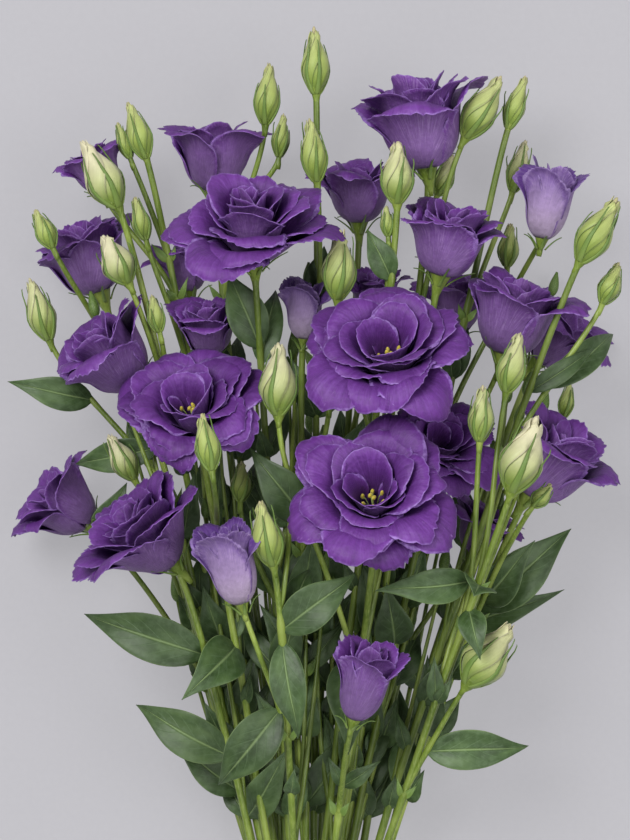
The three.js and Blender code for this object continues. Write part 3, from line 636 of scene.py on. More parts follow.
bloomForms = {
    "open": {
        "height": 0.95, "wild": 0.9, "hang": 0.36, "lop": 0.12, "lap": 0.075, "overlap": 1.55, "claw": 0.6,
        "whorls": [
            (5, 1.18, (58, 46, 82), 2.9, 18, (14, 42)),
            (5, 1.17, (54, 40, 66), 2.6, 22, (14, 40)),
            (5, 1.18, (50, 32, 51), 2.3, 24, (13, 36)),
            (4, 1.15, (45, 25, 40), 2.0, 24, (12, 34)),
            (4, 1.07, (40, 20, 31), 1.6, 20, (12, 28)),
            (3, 0.98, (36, 15, 22), 1.2, 14, (11, 28)),
        ],
    },
    "rose": {
        "height": 1.0, "wild": 0.7, "hang": 0.12, "lop": 0.0, "lap": 0.085, "overlap": 1.55, "claw": 0.6,
        "whorls": [
            (5, 1.23, (58, 50, 84), 2.8, 18, (15, 44)),
            (4, 1.14, (52, 44, 72), 2.6, 24, (15, 46)),
            (4, 1.15, (48, 26, 50), 2.2, 26, (13, 38)),
            (4, 1.17, (40, 16, 35), 1.9, 24, (12, 30)),
            (3, 1.20, (28, 9, 25), 1.5, 20, (12, 30)),
            (3, 1.19, (19, 4, 15), 1.1, 14, (12, 22)),
            (3, 1.17, (10, 1, 8), 0.7, 8, (11, 18)),
        ],
    },
    "bowl": {
        "height": 1.0, "wild": 0.6, "hang": 0.05, "lop": 0.0, "lap": 0.07, "overlap": 1.45, "claw": 0.7,
        "whorls": [
            (4, 1.50, (58, 32, 64), 2.4, 16, (15, 46)),
            (4, 1.46, (52, 25, 54), 2.4, 20, (15, 44)),
            (4, 1.40, (46, 18, 44), 2.0, 24, (13, 36)),
            (3, 1.35, (38, 13, 33), 1.7, 22, (12, 32)),
            (3, 1.31, (28, 8, 24), 1.4, 18, (12, 28)),
            (3, 1.27, (19, 4, 16), 1.1, 14, (12, 22)),
            (3, 1.23, (10, 1, 9), 0.8, 8, (11, 18)),
        ],
    },
    "goblet": {
        "height": 1.4, "wild": 0.45, "hang": 0.2, "lop": -0.05, "lap": 0.035, "overlap": 1.3, "claw": 0.8,
        "whorls": [
            (3, 1.74, (76, 13, 64), 2.8, 26, (15, 50)),
            (3, 1.70, (62, 7, 48), 2.4, 26, (14, 42)),
            (4, 1.60, (48, 5, 33), 2.0, 22, (12, 26)),
            (3, 1.53, (34, 3, 21), 1.5, 16, (11, 26)),
            (3, 1.46, (15, 2, 13), 1.1, 8, (10, 20)),
        ],
    },
    "far": {
        "height": 1.4, "wild": 0.6, "hang": 0.2, "lop": 0.0, "lap": 0.06, "overlap": 1.4, "claw": 0.7,
        "whorls": [
            (5, 1.79, (70, 16, 60), 2.3, 26, (13, 28)),
            (5, 1.69, (56, 10, 44), 2.0, 24, (12, 24)),
            (4, 1.55, (36, 5, 32), 1.6, 18, (11, 20)),
            (3, 1.40, (14, 0, 16), 1.1, 8, (9, 16)),
        ],
    },
    "cup": {
        "height": 2.3, "wild": 0.2, "hang": 0.0, "lop": 0.0, "lap": 0.05, "overlap": 1.28, "claw": 0.85,
        "whorls": [
            (3, 2.98, (56, 2, 34), 1.4, 42, (18, 42)),
            (3, 2.80, (41, 1, 19), 0.9, 26, (16, 36)),
            (3, 2.66, (27, 0, 11), 0.7, 14, (13, 28)),
            (3, 2.52, (14, 0, 4), 0.5, 6, (12, 20)),
        ],
    },
}
petalShape = {
    "thickness": 0.26, "fullSize": 30, "cupping": 1.15,
    "rounding": 0.45, "fanFoot": 0.3, "fanLimit": 1.05,  # the half-disc grid
    "rootOut": (6.6, 4.2), "rootUp": (1.3, 2.4),  # of the outer whorl, and what they lose and gain inward
    "stray": (0.06, 0.07, 0.24), "rollFrom": 0.78, "curl": 1.6,  # the angle to the axis
    "waves": 2.9, "scallops": 14.0, "frill": 0.24, "midWave": 0.36, "crumple": 0.55, "crinkle": 0.3,
    "corner": 0.17, "corners": 1.6, "tip": 0.3, "tipWidth": 0.55, "teeth": (-1.2, 0.7),  # the rim's outline
    "onFloor": 4,
}
petalReach = {"bloom_08": 1.14, "bloom_16": 0.94}
lavenderBlooms = ("bloom_07", "bloom_10", "bloom_21")


def headOf(name):
    # A head's frame. Its axis is (sin lean cos face, cos lean cos face, sin face), right is the axis crossed
    # with straight up, and front is the third side, turned away from the camera. The foot of the flower is
    # its middle less half its height along the axis.
    if name in flowers:
        at, radius, lean, face, form = flowers[name]
        height = bloomForms[form]["height"] * radius
    else:
        at, height, _, lean, face = buds[name]
    l, f = math.radians(lean), math.radians(face)
    axis = np.array([math.sin(l) * math.cos(f), math.cos(l) * math.cos(f), math.sin(f)])
    right = unit(np.cross(axis, (0, 0, 1)))
    return axis, right, -np.cross(right, axis), np.array(at) + sheetPlace - 0.5 * height * axis


def onAxis(head, up):
    # The foot of the flower, plus up along its axis.
    return head[3] + np.asarray(up)[:, None] * head[0]


def aroundAxis(head, out, up, turn):
    # The foot of the flower, plus up along its axis, plus out across it at the angle of turn.
    axis, right, front, foot = head
    out, up, turn = np.broadcast_arrays(out, up, turn)
    side = np.cos(turn)[..., None] * right + np.sin(turn)[..., None] * front
    return foot + up[..., None] * axis + out[..., None] * side


def addWhorl(skin, name, head, order):
    # Petals on a half-disc grid: x = t sqrt(1 - 0.45 s^2) across and y = s sqrt(1 - 0.45 t^2) along, with the
    # fan angle atan(x / (y + 0.3)) and the distance rim from the root. A petal is walked from root to rim at
    # an angle to the axis that runs through its whorl's three angles and rolls over at the rim. It wraps the
    # axis by its share of the whorl, narrow at the claw. Its waves run over the fan, push it along its normal
    # and sideways, and grow with the cube of rim. Roll and waves are held back low down, where the petals
    # press on each other, and waves on the side that lies under the next petal. 0.5 - |sin| of the fan gives
    # the rim its blunt corners, 1 - |fan| / 0.55 its tip, which curls back, and a random length in each
    # column its torn teeth. The outer petals on the bloom's low side hang lower. A petal that comes within
    # 4 mm of the floor is eased on to it by 4 exp((z - 4) / 4).
    _, radius, _, _, formName = flowers[name]
    form = bloomForms[formName]
    count, length, angles, ruffle, roll, (rows, columns) = form["whorls"][order]
    number = int(name[-2:])
    rng = np.random.default_rng(100 * number + order)
    own = lambda width: rng.uniform(-width, width, (count, 1, 1))
    size = min(1, radius / petalShape["fullSize"])
    inward = order / (len(form["whorls"]) - 1)
    wild = form["wild"] * (1 - 0.7 * inward)
    s, t = gridOf(rows, columns)
    x = t * np.sqrt(1 - petalShape["rounding"] * s * s)
    y = s * np.sqrt(1 - petalShape["rounding"] * t * t)
    fan = np.arctan2(x, y + petalShape["fanFoot"])
    rim = np.clip(np.hypot(x, y), 0, petalShape["fanLimit"])
    free = ease(0.25, 0.85, y)
    # In closed forms the open part of one outer petal faces the camera.
    half = np.pi / count * form["overlap"] * (1 + 0.25 * inward)
    if wild > 0.5 or order:
        whole = number * 0.7
    else:
        whole = 0.15 * math.sin(5 * number) - 0.5 * np.pi - half + np.pi / count
    whole = whole + np.pi * order * (0.62 + 0.13 * (order % 2))
    turn = whole + 2 * np.pi * np.arange(count)[:, None, None] / count + own(0.3) * form["wild"]
    lowSide = -(np.cos(turn) * head[1][1] + np.sin(turn) * head[2][1])
    # The angle to the axis, and the walk.
    first, middle, last = [
        math.radians(angle) + own(width) * wild for angle, width in zip(angles, petalShape["stray"])
    ]
    last = last + form["hang"] * (1 - inward) ** 2 * np.clip(lowSide, 0, 1)
    tip = np.clip(1 - np.abs(fan - own(0.25)) / petalShape["tipWidth"], 0, 1)
    angle = throughThree(first, middle, last, y)
    angle = angle + math.radians(roll) * (1 + own(0.5)) * ease(petalShape["rollFrom"], 1, rim) * free
    angle = angle + own(0.22) * wild * y * np.sin(2.2 * x + own(3))
    angle = angle + petalShape["curl"] * form["hang"] * (1 - inward) * tip * ease(0.6, 1, rim)
    reach = length * petalReach.get(name, 1) * (radius - 6 * size)
    reach = reach * (0.98 + own(0.07)) * (1 - form["lop"] * inward * lowSide)
    out, up = walk(angle, np.diff(y, axis=1) * reach)
    # Waves from large to small.
    phase, finePhase = own(3), own(3)
    waves, scallops = petalShape["waves"] * (1 + own(0.25)), petalShape["scallops"] * (1 + own(0.2))
    ruffle = ruffle * min(1, radius / 34)
    swell = ruffle * rim**3 * (0.3 + 0.7 * free)
    frill = petalShape["frill"] * ruffle * ease(0.7, 1, rim)
    patch = 0.6 + 0.5 * np.sin(2.3 * fan + own(3))
    wave = swell * np.sin(waves * fan + phase) + frill * patch * np.sin(scallops * fan + finePhase)
    wave = wave + petalShape["midWave"] * ruffle * ease(0.45, 1, rim) * np.sin(2.4 * waves * fan + own(3))
    crumple = petalShape["crumple"] * wild * ruffle * y
    wave = wave + crumple * np.sin(3.1 * x + own(3)) * np.sin(4.3 * y + own(3))
    crinkle = rng.uniform(-1, 1, (count, 1, columns))
    crinkle = 0.5 * (crinkle + np.roll(crinkle, 1, axis=2))
    wave = wave + petalShape["crinkle"] * ruffle * ease(0.8, 1, rim) * crinkle
    press = np.where(x < 0, 1, (1 - form["wild"]) ** 2)
    wave = wave * (1 - 0.7 * press * ease(0.3, 1, np.abs(x)))
    slide = 0.5 * swell * np.cos(waves * fan + phase) + 0.6 * frill * np.cos(scallops * fan + finePhase)
    # What the rim gains or loses in length.
    tooth = (1 - 0.4 * inward) * (0.6 + 0.7 * patch) * ease(0.9, 1, rim)
    tooth = tooth * rng.uniform(*petalShape["teeth"], (count, 1, columns))
    corner = 0.5 - np.abs(np.sin(petalShape["corners"] * fan + own(1.5)))
    tip = tip * petalShape["tip"] * form["wild"] * (1 - 0.8 * inward)
    tooth = tooth + reach * ease(0.45, 1, rim) * (petalShape["corner"] * form["wild"] * corner + tip)
    # One side edge lies over the next petal, and the middle bellies out.
    belly = petalShape["cupping"] * form["lap"] * radius * (1 + own(0.4)) * wild * x * x * ease(0, 0.7, y)
    shift = form["lap"] * radius * (1 - 0.4 * inward) * x * ease(0.1, 0.9, y) - belly + wave
    (rootOut, loss), (rootUp, gain) = petalShape["rootOut"], petalShape["rootUp"]
    across = (rootOut - loss * inward) * size + out + shift * np.cos(angle) + tooth * np.sin(angle)
    across = np.maximum(across, 1.1 + 0.7 * x)
    upward = (rootUp + gain * inward) * size + up - shift * np.sin(angle) + tooth * np.cos(angle)
    claw = form["claw"] + (1 - form["claw"]) * ease(0, 0.55, y)
    turn = turn + half * claw * x + slide / np.maximum(across, 4)
    tone = rng.uniform(0, 1, (count, 1, 1))
    points = aroundAxis(head, across, upward, turn)
    floor = petalShape["onFloor"]
    low = points[..., 2] < floor
    points[low, 2] = floor * np.exp((points[low, 2] - floor) / floor)
    # depth runs from claw to rim for the ramps: the purple ramp's dark claw end is painted shade, the pale
    # rim end a paler margin with a painted highlight.
    depth = y + (rim - y) * ease(0.85, 1, rim)
    skin.sheets(points, fan, depth, tone, petalShape["thickness"], 0)


# The low bowl that a flower's petals grow from: heights and radii of its rings.
bowlShape = {"up": (0.0, 0.2, 1.4, 2.6, 3.2), "radii": (3.8, 4.4, 6.4, 5.0, 2.0)}


def makeBloom(name):
    head = headOf(name)
    _, radius, _, _, form = flowers[name]
    size = min(1, radius / petalShape["fullSize"])
    skin = Skin()
    for order in range(len(bloomForms[form]["whorls"])):
        addWhorl(skin, name, head, order)
    up, radii = [np.array(bowlShape[key]) * size for key in ("up", "radii")]
    skin.tube(onAxis(head, up), radii, 20, 0, 0.2, head[1])
    kind = "lavender" if name in lavenderBlooms else "purple"
    makePiece(name.replace("_", ""), skin, [materials[kind]], "petal", name)


for name in flowers:
    makeBloom(name)
print("blooms made")

# Stems with their buds, leaves, receptacles and sepals

stemPart, leafPart, budPart, sepalPart = range(4)  # a spray's materials
stemShape = {
    "foot": -100, "footSpread": 1.05, "radius": 2.2, "neck": 1.6, "side": 1.5, "sideNeck": 1.3,
    "node": 0.25, "nodeLength": 3.2, "sway": 0.35, "leave": (0.3, 0.35), "arrive": (0.27, 42), "maxLean": 80,
    "neckTone": 0.8,
}


def bezier(corners, u):
    # (1-u)^3 a + 3u(1-u)^2 b + 3u^2(1-u) c + u^3 d.
    a, b, c, d = corners
    u = np.asarray(u, float)[..., None]
    return (1 - u) ** 3 * a + 3 * u * (1 - u) ** 2 * b + 3 * u * u * (1 - u) * c + u**3 * d


def lineInto(name, start, leave, share):
    # From start along leave, and into the head's foot along its axis or by way of its own via point.
    axis, _, _, foot = headOf(name)
    lean = flowers[name][2] if name in flowers else buds[name][3]
    reach = np.linalg.norm(foot - start)
    part, most = stemShape["arrive"]
    arrive = min(part * reach, most) * (1 - abs(lean) / stemShape["maxLean"])
    by = np.array(viaPoints[name]) + sheetPlace if name in viaPoints else foot - arrive * axis
    return start, start + share * reach * leave, by, foot


def placeAtHeight(line, height):
    # The point and direction of a stem's line where it passes a height on the sheet.
    u = np.linspace(0, 1, 1201)
    where = np.interp(height + sheetPlace[1], bezier(line, u)[:, 1], u)
    ahead, behind = bezier(line, min(where + 0.002, 1)), bezier(line, max(where - 0.002, 0))
    return bezier(line, where), unit(ahead - behind)


leafShape = {"arch": 0.16, "droop": 0.05, "fold": 0.22, "thickness": 0.6, "wave": 0.035, "sway": (0.03, 0.05)}


def addLeaf(skin, start, end, width, tone, grid=(20, 11), kind=leafPart):
    # A blade on the straight line from root to tip, arched by 4s(1-s), folded up along its middle and waved
    # at its margin. Its outline is 1.2 sin(pi s^0.68)^0.9, drawn in towards the tip, and it sways to one side
    # by sin(pi s) and by s^6 at the tip.
    s, t = gridOf(*grid, 0.2, 0.15)
    along = end - start
    side = unit(np.cross(along, (0, 0, 1)))
    up = unit(np.cross(side, along))
    reach = np.linalg.norm(along)
    outline = 1.2 * np.sin(np.pi * np.clip(s, 0.004, 0.992) ** 0.68) ** 0.9 * (1 - 0.3 * ease(0.5, 1, s))
    waves = leafShape["wave"] * width * np.sin(9 * s + 6 * tone + 1.6 * np.sign(t)) * t * t
    fold = 0.5 * leafShape["fold"] * width * outline * np.abs(t) ** 1.3
    lift = leafShape["arch"] * reach * 4 * s * (1 - s) + fold + waves * outline
    lift = lift - leafShape["droop"] * reach * s**5
    bend, hook = leafShape["sway"]
    sway = reach * (bend * np.sin(np.pi * s) + hook * s**6) * np.sin(11 * tone)
    sideways = (0.5 * width * outline * t + sway)[..., None] * side
    middle = start + s[..., None] * along + sideways + lift[..., None] * up
    skin.sheets(middle, t, s, tone, leafShape["thickness"] * min(1, width / 12), kind, 0)


budShape = {
    "petals": 5, "widest": 0.36, "fullness": 0.47, "twist": 0.3, "overlap": 1.6, "lap": 0.085,
    "thickness": 0.4, "crown": (0.06, 0.13), "core": (0.3, 0.5, 0.68, 0.82, 0.9, 0.95, 0.98),
    "neckUp": (-7.0, -4.5, -2.0, 0.0),
}
# How far from green to cream a bud is. The rest are at 0.1.
creamShare = {
    "bud_10": 1.0, "bud_17": 1.0, "bud_16": 0.55, "bud_07": 0.75, "bud_20": 0.6, "bud_06": 0.3,
    "bud_29": 1.0, "bud_30": 0.55, "bud_22": 0.25, "bud_24": 0.7, "bud_19": 0.9, "bud_27": 0.45,
    "bud_28": 0.35, "bud_33": 0.6,
}
sepalShape = {"length": 17.5, "width": 1.9, "thickness": 0.5, "tone": 0.3, "budTone": 0.5}


def addBud(skin, name):
    # Five petals wound round the axis. Half the width is scaled by 1 - 0.74 (1 - u/0.36)^1.7 below the widest
    # place, and by 0.86 (1 - v^1.7)^1.7 + 0.14 (1 - v) above it, and the petals' ends flare to a small crown.
    # Each petal leans outward across itself, so that one edge laps the next.
    _, length, width, _, _ = buds[name]
    head = headOf(name)
    number = int(name[-2:])
    rng = np.random.default_rng(700 + number)
    count, widest = budShape["petals"], budShape["widest"]
    own = lambda low, high: rng.uniform(low, high, (count, 1, 1))

    def profileOf(h):
        v = np.clip((h - widest) / (1 - widest), 0, 1)
        below = 1 - 0.74 * np.clip(1 - h / widest, 0, 1) ** 1.7
        above = 0.86 * (1 - v**1.7) ** 1.7 + 0.14 * (1 - v)
        return budShape["fullness"] * width * np.where(h < widest, below, above)

    u, t = gridOf(*((17, 9) if width > 12 else (12, 7)))
    tall = 1 - 0.09 * own(0, 1)
    height = u * tall * (1 - 0.15 * np.abs(t - 0.25) ** 1.5 * u**2)
    flare = ease(0.84, 1, u) * own(*budShape["crown"])
    out = 0.93 * profileOf(height) * (1 + budShape["lap"] * t) + (0.02 + flare * (0.6 + 0.4 * t)) * width
    half = np.pi / count * budShape["overlap"]
    turn = 2 * np.pi * np.arange(count)[:, None, None] / count + 2 * np.pi * budShape["twist"] * u**1.4
    turn = turn + half * t + 0.7 * number
    tone = creamShare.get(name, 0.1)
    middle = aroundAxis(head, out, length * height, turn)
    skin.sheets(middle, t, height, tone, budShape["thickness"], budPart)
    # A pointed core of still folded petals closes the tip.
    inner = np.array(budShape["core"])
    core = 0.8 * profileOf(inner) + (0.012 + 0.03 * ease(0.82, 0.95, inner)) * width
    core[-1] = 0.02 * width
    skin.tube(onAxis(head, length * inner), core, 9, budPart, tone, head[1])
    # The cup that the stem swells into.
    up = [*budShape["neckUp"], 0.06 * length, 0.12 * length]
    radii = np.array([stemShape["sideNeck"], 1.5, 0.13 * width, 0.17 * width, 0.24 * width, 0.29 * width])
    skin.tube(onAxis(head, up), radii, 16, stemPart, stemShape["neckTone"], head[1])
    # The sepals lie on the bud as its ribs, and their tips stand off it and curl.
    s, t = gridOf(12, 5, 0.2, 0.2)
    tips = own(0.6, 0.95)
    free = own(0.3, 1.9) * ease(0.6, 1.0, s) * width * 0.14
    half = (0.075 * width + 0.2) * np.clip(1.04 - s**1.5, 0.1, 1)
    out = 0.93 * profileOf(s * tips) * 1.08 + 0.25 + free + 0.3 * (1 - t * t)
    turns = 2 * np.pi * (np.arange(count)[:, None, None] + 0.5) / count + 0.7 * number + own(-0.15, 0.15)
    turns = turns + own(-0.1, 0.5) * s + half * t / np.maximum(out, 1)
    middle = aroundAxis(head, out, length * s * tips - 0.8 * (1 - s), turns)
    skin.sheets(middle, t, s, sepalShape["budTone"], sepalShape["thickness"], sepalPart)


def addReceptacle(skin, name, neck):
    # The swelling under a bloom, with five narrow sepals from a ring round it. Each is walked at an angle to
    # the axis that runs through three angles, so that it spreads and curls back, and has a low keel.
    head = headOf(name)
    size = min(1, flowers[name][1] / 28)
    rng = np.random.default_rng(300 + int(name[-2:]))
    up = np.array([-14, -11, -8, -5, -2, 1.2, 2.6]) * size
    radii = np.array([neck, 1.15 * neck, 2.5 * size, 3.5 * size, 4.5 * size, 5.8 * size, 6.2 * size])
    skin.tube(onAxis(head, up), radii, 16, stemPart, stemShape["neckTone"], head[1])
    s, t = gridOf(12, 5, 0.2, 0.2)
    turns = 2 * np.pi * np.arange(5) / 5 + rng.uniform(-0.2, 0.2, 5)
    bend = [np.full(5, 34), rng.uniform(36, 60, 5), rng.uniform(40, 125, 5)]
    angle = throughThree(*[np.radians(degrees)[:, None, None] for degrees in bend], s)
    out, up = walk(angle, np.diff(s, axis=1) * sepalShape["length"] * size)
    out, up = 3.6 * size + out, -5 + up
    half = 0.5 * sepalShape["width"] * np.clip(1.05 - s**1.4, 0.08, 1)
    keel = 0.25 * sepalShape["width"] * (1 - t * t) * (1 - 0.6 * s)
    turn = turns[:, None, None] + half * t / np.maximum(out, 1)
    middle = aroundAxis(head, out + keel * np.cos(angle), up - keel * np.sin(angle), turn)
    skin.sheets(middle, t, s, sepalShape["tone"], sepalShape["thickness"], sepalPart)


def addStem(skin, points, radii, sides, nodes, tone):
    # A round stem that thins from one radius to the other, sways by a third of a millimetre, and swells at
    # each node by exp(-(distance / 3.2)^2).
    along = lengthAlong(points)
    share = along / along[-1]
    radius = radii[0] + (radii[1] - radii[0]) * share
    for node in nodes:
        gap = np.linalg.norm(points - node, axis=1)
        radius = radius * (1 + stemShape["node"] * np.exp(-((gap / stemShape["nodeLength"]) ** 2)))
    bends = np.stack([np.sin(along / 17 + 9 * tone), 0 * along, np.cos(along / 23 + 5 * tone)], 1)
    points = points + stemShape["sway"] * np.sin(np.pi * share)[:, None] * bends
    skin.tube(points, radius, sides, stemPart, tone)


foliage = {
    "pitch": 36, "first": 6, "stop": 235, "clear": 70, "length": 54, "width": 17, "lean": (20, 48),
    "edge": 22, "lowest": 6,
}
shoots = {
    "count": 4, "from": (-40, 130), "length": (90, 170), "lean": (3, 11), "radius": (1.4, 0.8),
    "bud": (10, 15), "behind": 18, "level": (8, 52),
}


def addFoliage(skin, line, row, rng):
    # Pairs of leaves up a stem, each pair a quarter turn round from the one below. A leaf leans off the stem
    # by 20 to 48 degrees, and turns less to the side where that would take it out of the bunch. The front
    # rows carry few and small ones.
    height = foliage["first"] + rng.uniform(0, foliage["pitch"])
    quarter = rng.uniform(0, np.pi)
    top = min(foliage["stop"], line[3][1] - sheetPlace[1] - foliage["clear"])
    while height < top:
        point, direction = placeAtHeight(line, height)
        side = unit(np.cross(direction, (0, 0, 1)))
        other = np.cross(side, direction)
        for opposite in (0, np.pi):
            outward = np.cos(quarter + opposite) * side + np.sin(quarter + opposite) * other
            if outward[0] * point[0] > 0 and abs(point[0]) > foliage["edge"]:
                outward[0] *= 0.35
            outward[2] = np.clip(outward[2], -0.7, 0.45 if row < 3 else 0.15)
            size = rng.uniform(0.55, 1) * (1.0 - 0.35 * height / foliage["stop"]) * (1 if row < 3 else 0.5)
            if row > 2 and rng.uniform() < 0.5:
                continue
            lean = math.radians(rng.uniform(*foliage["lean"]))
            end = point + size * foliage["length"] * (math.cos(lean) * direction + math.sin(lean) * outward)
            end[2] = max(end[2], foliage["lowest"])
            addLeaf(skin, point, end, max(size * foliage["width"], 5), rng.uniform(0, 1), (12, 7))
        height += foliage["pitch"] * rng.uniform(0.8, 1.25)
        quarter += 0.5 * np.pi


def addShoots(skin, line, rng):
    # Thin side shoots that run up beside the stem, a little behind it, each into a small green bud. The bud's
    # radius is sin(pi u^0.7) times a sixth of its length.
    for _ in range(shoots["count"]):
        point, direction = placeAtHeight(line, rng.uniform(*shoots["from"]))
        outward = np.array([rng.choice([-1, 1]) * rng.uniform(0.4, 1), 0, rng.uniform(-0.7, 0.1)])
        outward[0] *= 0.4 if outward[0] * point[0] > 0 else 1
        lean = math.radians(rng.uniform(*shoots["lean"]))
        onward = unit(math.cos(lean) * direction + math.sin(lean) * outward)
        end = point + rng.uniform(*shoots["length"]) * onward
        end[2] = np.clip(end[2] - shoots["behind"], *shoots["level"])
        reach = np.linalg.norm(end - point)
        upright = unit(end - point + 0.4 * reach * np.array([0, 1, 0]))
        route = point, point + 0.3 * reach * unit(direction + outward * 0.3), end - 0.3 * reach * upright, end
        addStem(skin, bezier(route, np.linspace(0, 1, 16)), shoots["radius"], 8, [], rng.uniform(0.2, 0.9))
        u = np.linspace(0, 1, 9)
        size = rng.uniform(*shoots["bud"])
        radii = 0.5 + size / 6 * np.sin(np.pi * np.clip(u, 0, 0.98) ** 0.7)
        skin.tube(end + (u[:, None] * size - 0.5) * upright, radii, 9, sepalPart, rng.uniform(0, 1))


def makeSpray(number, heads, slotX, slotZ, row):
    # One stem through the tie with all that it carries: its line to its first head, side stems with a pair of
    # small bracts at each fork, the leaves of the table, foliage, shoots, and its heads' own parts.
    mainHead, *sideHeads = heads
    skin = Skin()
    rng = np.random.default_rng(500 + number)
    start = np.array([slotX, tieSetup["width"], slotZ])
    leaveMain, leaveSide = stemShape["leave"]
    leave = unit(0.75 * unit(headOf(mainHead)[3] - start) + np.array([0, 0.25, 0]))
    lines = {mainHead: lineInto(mainHead, start, leave, leaveMain)}
    nodes = {mainHead: []}
    for name, height in sideHeads:
        point, direction = placeAtHeight(lines[mainHead], height)
        nodes[mainHead].append(point)
        nodes[name] = []
        lines[name] = lineInto(name, point, unit(unit(headOf(name)[3] - point) + direction), leaveSide)
        for side in (-1, 1):
            outward = unit(np.cross(direction, (0, 0, 1))) * side
            length = rng.uniform(9, 15)
            end = point + length * (0.8 * direction + 0.5 * outward + np.array([0, 0, rng.uniform(0, 0.35)]))
            width = rng.uniform(2.6, 4.2)
            addLeaf(skin, point + outward * 0.8, end, width, rng.uniform(0, 1), (9, 5), sepalPart)
    for on, height, tip, width in leaves:
        if on in lines:
            root = placeAtHeight(lines[on], height)[0]
            nodes[on].append(root)
            addLeaf(skin, root, np.array(tip) + sheetPlace, width, rng.uniform(0, 1))
    addFoliage(skin, lines[mainHead], row, rng)
    addShoots(skin, lines[mainHead], rng)
    wider = stemShape["footSpread"]
    foot = np.array([slotX * wider, stemShape["foot"], tieHeight + (slotZ - tieHeight) * wider])
    below = np.array([slotX, -tieSetup["width"], slotZ])
    straight = foot + np.linspace(0, 1, 12)[:, None] * (below - foot)
    inTie = below + np.array([0.33, 0.67])[:, None] * (start - below)
    upper = bezier(lines[mainHead], np.linspace(0, 1, 48))
    radii = stemShape["radius"], stemShape["neck"]
    points = np.concatenate([straight, inTie, upper])
    addStem(skin, points, radii, 12, nodes[mainHead], rng.uniform(0.2, 1))
    radii = stemShape["side"], stemShape["sideNeck"]
    for name, _ in sideHeads:
        points = bezier(lines[name], np.linspace(0, 1, 26))
        addStem(skin, points, radii, 10, nodes[name], rng.uniform(0.3, 1))
    for name in lines:
        if name in flowers:
            addReceptacle(skin, name, stemShape["neck"] if name == mainHead else stemShape["sideNeck"])
        else:
            addBud(skin, name)
    kinds = [materials[k] for k in ("stem", "leaf", "bud", "sepal")]
    makePiece("spray%02d" % number, skin, kinds, "stem_and_leaf", "stem_%02d" % number)


stemNumber = 0
for rowIndex, row in enumerate(stemRows):
    # A row lies in the gaps of the one below it, half a pitch over.
    shift = (0.25 if rowIndex % 2 and len(row) % 2 else -0.25) * tieSetup["stemPitch"]
    for column, heads in enumerate(row):
        stemNumber += 1
        slotX = (column - (len(row) - 1) / 2) * tieSetup["stemPitch"] + shift
        slotZ = tieHeight + (rowIndex - (len(stemRows) - 1) / 2) * tieSetup["rowPitch"]
        makeSpray(stemNumber, heads, slotX, slotZ, rowIndex)
print("sprays made")

# Stamens

stamenShape = {
    "anthers": 6, "height": 13.0, "spread": 5.5, "foot": 1.4, "stalk": 0.28, "anther": (3.6, 1.0),
    "stigma": 16.0, "above": (3.3, 0.7), "pistilUp": (0, 1.5, 3.5, 5, 7, 9, 14.5),
    "pistil": (1.8, 2.1, 1.9, 1.2, 0.7, 0.6, 0.7),
}


def makeStamens(name):
    # A green pistil with a two-lobed yellow stigma, and anthers on curved stalks round it.
    axis, right, front, foot = headOf(name)
    size = min(1, flowers[name][1] / petalShape["fullSize"])
    above, more = stamenShape["above"]
    head = (axis, right, front, foot + (above * size + more) * axis)
    skin = Skin()
    rng = np.random.default_rng(900 + int(name[-2:]))
    skin.tube(onAxis(head, stamenShape["pistilUp"]), stamenShape["pistil"], 12, 0, 0.2, right)
    for side in (-1, 1):
        u = np.linspace(0, 1, 8)
        up = stamenShape["stigma"] - 1.8 + 1.5 * u - 0.9 * u * u
        lobe = aroundAxis(head, 0.2 + 1.9 * u**0.8, up, 0.8 + side * 1.57)
        skin.tube(lobe, 0.4 + 1.0 * np.sin(np.pi * np.clip(u, 0.05, 0.95)), 10, 0, 0.9, axis)
    foot, spread = stamenShape["foot"], stamenShape["spread"]
    long, thick = stamenShape["anther"]
    for k in range(stamenShape["anthers"]):
        turn = 2 * np.pi * (k + 0.5) / stamenShape["anthers"] + rng.uniform(-0.2, 0.2)
        tall = stamenShape["height"] * rng.uniform(0.85, 1.15)
        u = np.linspace(0, 1, 7)
        stalk = aroundAxis(head, foot + (spread - foot) * u**1.3, tall * np.sin(0.5 * np.pi * u), turn)
        skin.tube(stalk, np.full(7, stamenShape["stalk"]), 6, 0, 0.3, np.cross(axis, stalk[-1] - stalk[0]))
        v = np.linspace(-1, 1, 8)
        tip = aroundAxis(head, spread, tall, turn)
        lean = unit(0.8 * axis + 0.6 * unit(stalk[-1] - head[3]) + 0.4 * rng.uniform(-1, 1, 3))
        radii = thick * np.sqrt(np.clip(1 - v * v, 0.03, 1))
        skin.tube(tip + v[:, None] * long * 0.5 * lean, radii, 9, 0, 0.9, right + 0.3 * axis)
    makePiece("stamens" + name[-2:], skin, [materials["stamen"]], "stamen", "stamens_" + name[-2:])


for name in ("bloom_02", "bloom_03", "bloom_04"):
    makeStamens(name)
print("stamens made")

# Tie

twine = {
    "thickness": 2.0, "turns": 5, "radius": 16.7, "width": 8.0, "strand": 2.2, "ends": 22,
    "knot": (2.4, 5.6, 1.6), "knotThickness": 1.7,
}


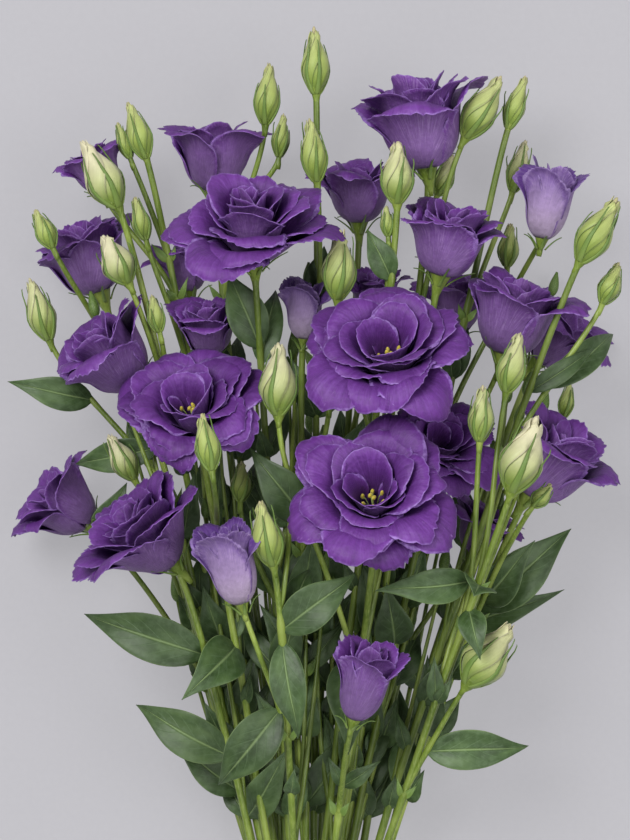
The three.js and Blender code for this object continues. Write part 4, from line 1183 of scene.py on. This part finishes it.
def makeTie():
    # Twine wound round the stems, flat where it rests, and a small knot with two short ends that lie on the
    # stems. Its rings swell and thin as two twisted strands do.
    skin = Skin()

    def addRope(x, y, z, thickness):
        path = np.stack([x, y, z], axis=1)
        turn = 2 * np.pi * np.arange(12) / 12
        strands = np.abs(np.sin(turn[None] + lengthAlong(path)[:, None] * np.pi / (2 * twine["strand"])))
        skin.tube(path, 0.5 * thickness * (1 - 0.2 * strands), 12, 0, 0.5, (0.05, 1, 0.05))

    turn = np.linspace(0, 2 * np.pi * twine["turns"], 110 * twine["turns"])
    x, z = twine["radius"] * np.sin(turn), tieHeight + twine["radius"] * np.cos(turn)
    y = -0.5 * twine["width"] + twine["width"] * turn / turn[-1]
    addRope(x, y, np.maximum(z, 0.5 * twine["thickness"]), twine["thickness"])
    wide, long, lift = twine["knot"]
    top = tieHeight + twine["radius"] + lift
    u = np.linspace(0, 1, 60)
    loop = 2 * np.pi * u * 1.15
    addRope(wide * np.cos(loop), long * np.sin(loop), top + 0.5 * np.sin(2 * loop), twine["knotThickness"])
    reach = twine["ends"]
    for side in (-1, 1):
        x = side * (1.0 + 0.32 * reach * u + 1.2 * np.sin(5 * u))
        y = 3.0 * side * (1 - u) + 0.75 * reach * u
        addRope(x, y, top - 3.6 * ease(0, 0.7, u) - 1.0 * u, twine["knotThickness"])
    makePiece("twineTie", skin, [materials["twine"]], "tie", "tie")


makeTie()
print("tie made")

# Floor and light

studio = {
    "floor": "#67666a", "speckle": "#a4a3a6", "glow": "#bcbbbf", "glowStrength": 0.68, "halfWidth": 4000,
    "sky": "#f4f4f6", "skyStrength": 0.32,
    "lamps": [
        # name, place, size, power, aimed at
        ("keyLamp", (-1300, 1500, 2900), 1900, 101, (0, 320, 60)),
        ("fillLamp", (1700, 300, 2400), 2000, 38, (0, 320, 60)),
        ("footLamp", (0, -1200, 2200), 1800, 12, (0, 260, 60)),
    ],
}


def makeStudio():
    scene = bpy.context.scene
    scene.view_settings.view_transform = "Standard"
    paper = Finish(
        "paperFloor", 0.9, Emission_Color=colour(studio["glow"]), Emission_Strength=studio["glowStrength"]
    )
    grain = paper.grains(3, 3.0)
    paper.tint = colour(studio["floor"])
    paper.paintOver(grain, 0.3, 0.7, 0.04, studio["speckle"])
    far = studio["halfWidth"] / 1000
    mesh = bpy.data.meshes.new("floor")
    mesh.from_pydata([(-far, -far, 0), (far, -far, 0), (far, far, 0), (-far, far, 0)], [], [(0, 1, 2, 3)])
    mesh.materials.append(paper.done(grain, 0.02))
    floor = bpy.data.objects.new("floor", mesh)
    scene.collection.objects.link(floor)
    floor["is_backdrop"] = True
    scene.world = bpy.data.worlds.new("studio")
    scene.world.use_nodes = True
    sky = scene.world.node_tree.nodes["Background"]
    sky.inputs[0].default_value = colour(studio["sky"])
    sky.inputs[1].default_value = studio["skyStrength"]
    for name, place, size, power, aim in studio["lamps"]:
        light = bpy.data.lights.new(name, "AREA")
        light.shape = "DISK"
        light.size = size / 1000
        light.energy = power
        lamp = bpy.data.objects.new(name, light)
        lamp.location = Vector(place) / 1000
        lamp.rotation_euler = (Vector(aim) - Vector(place)).to_track_quat("-Z", "Y").to_euler()
        scene.collection.objects.link(lamp)


makeStudio()
triangles = sum(len(face.vertices) - 2 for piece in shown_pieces() for face in piece.data.polygons)
print("studio made,", triangles, "triangles")
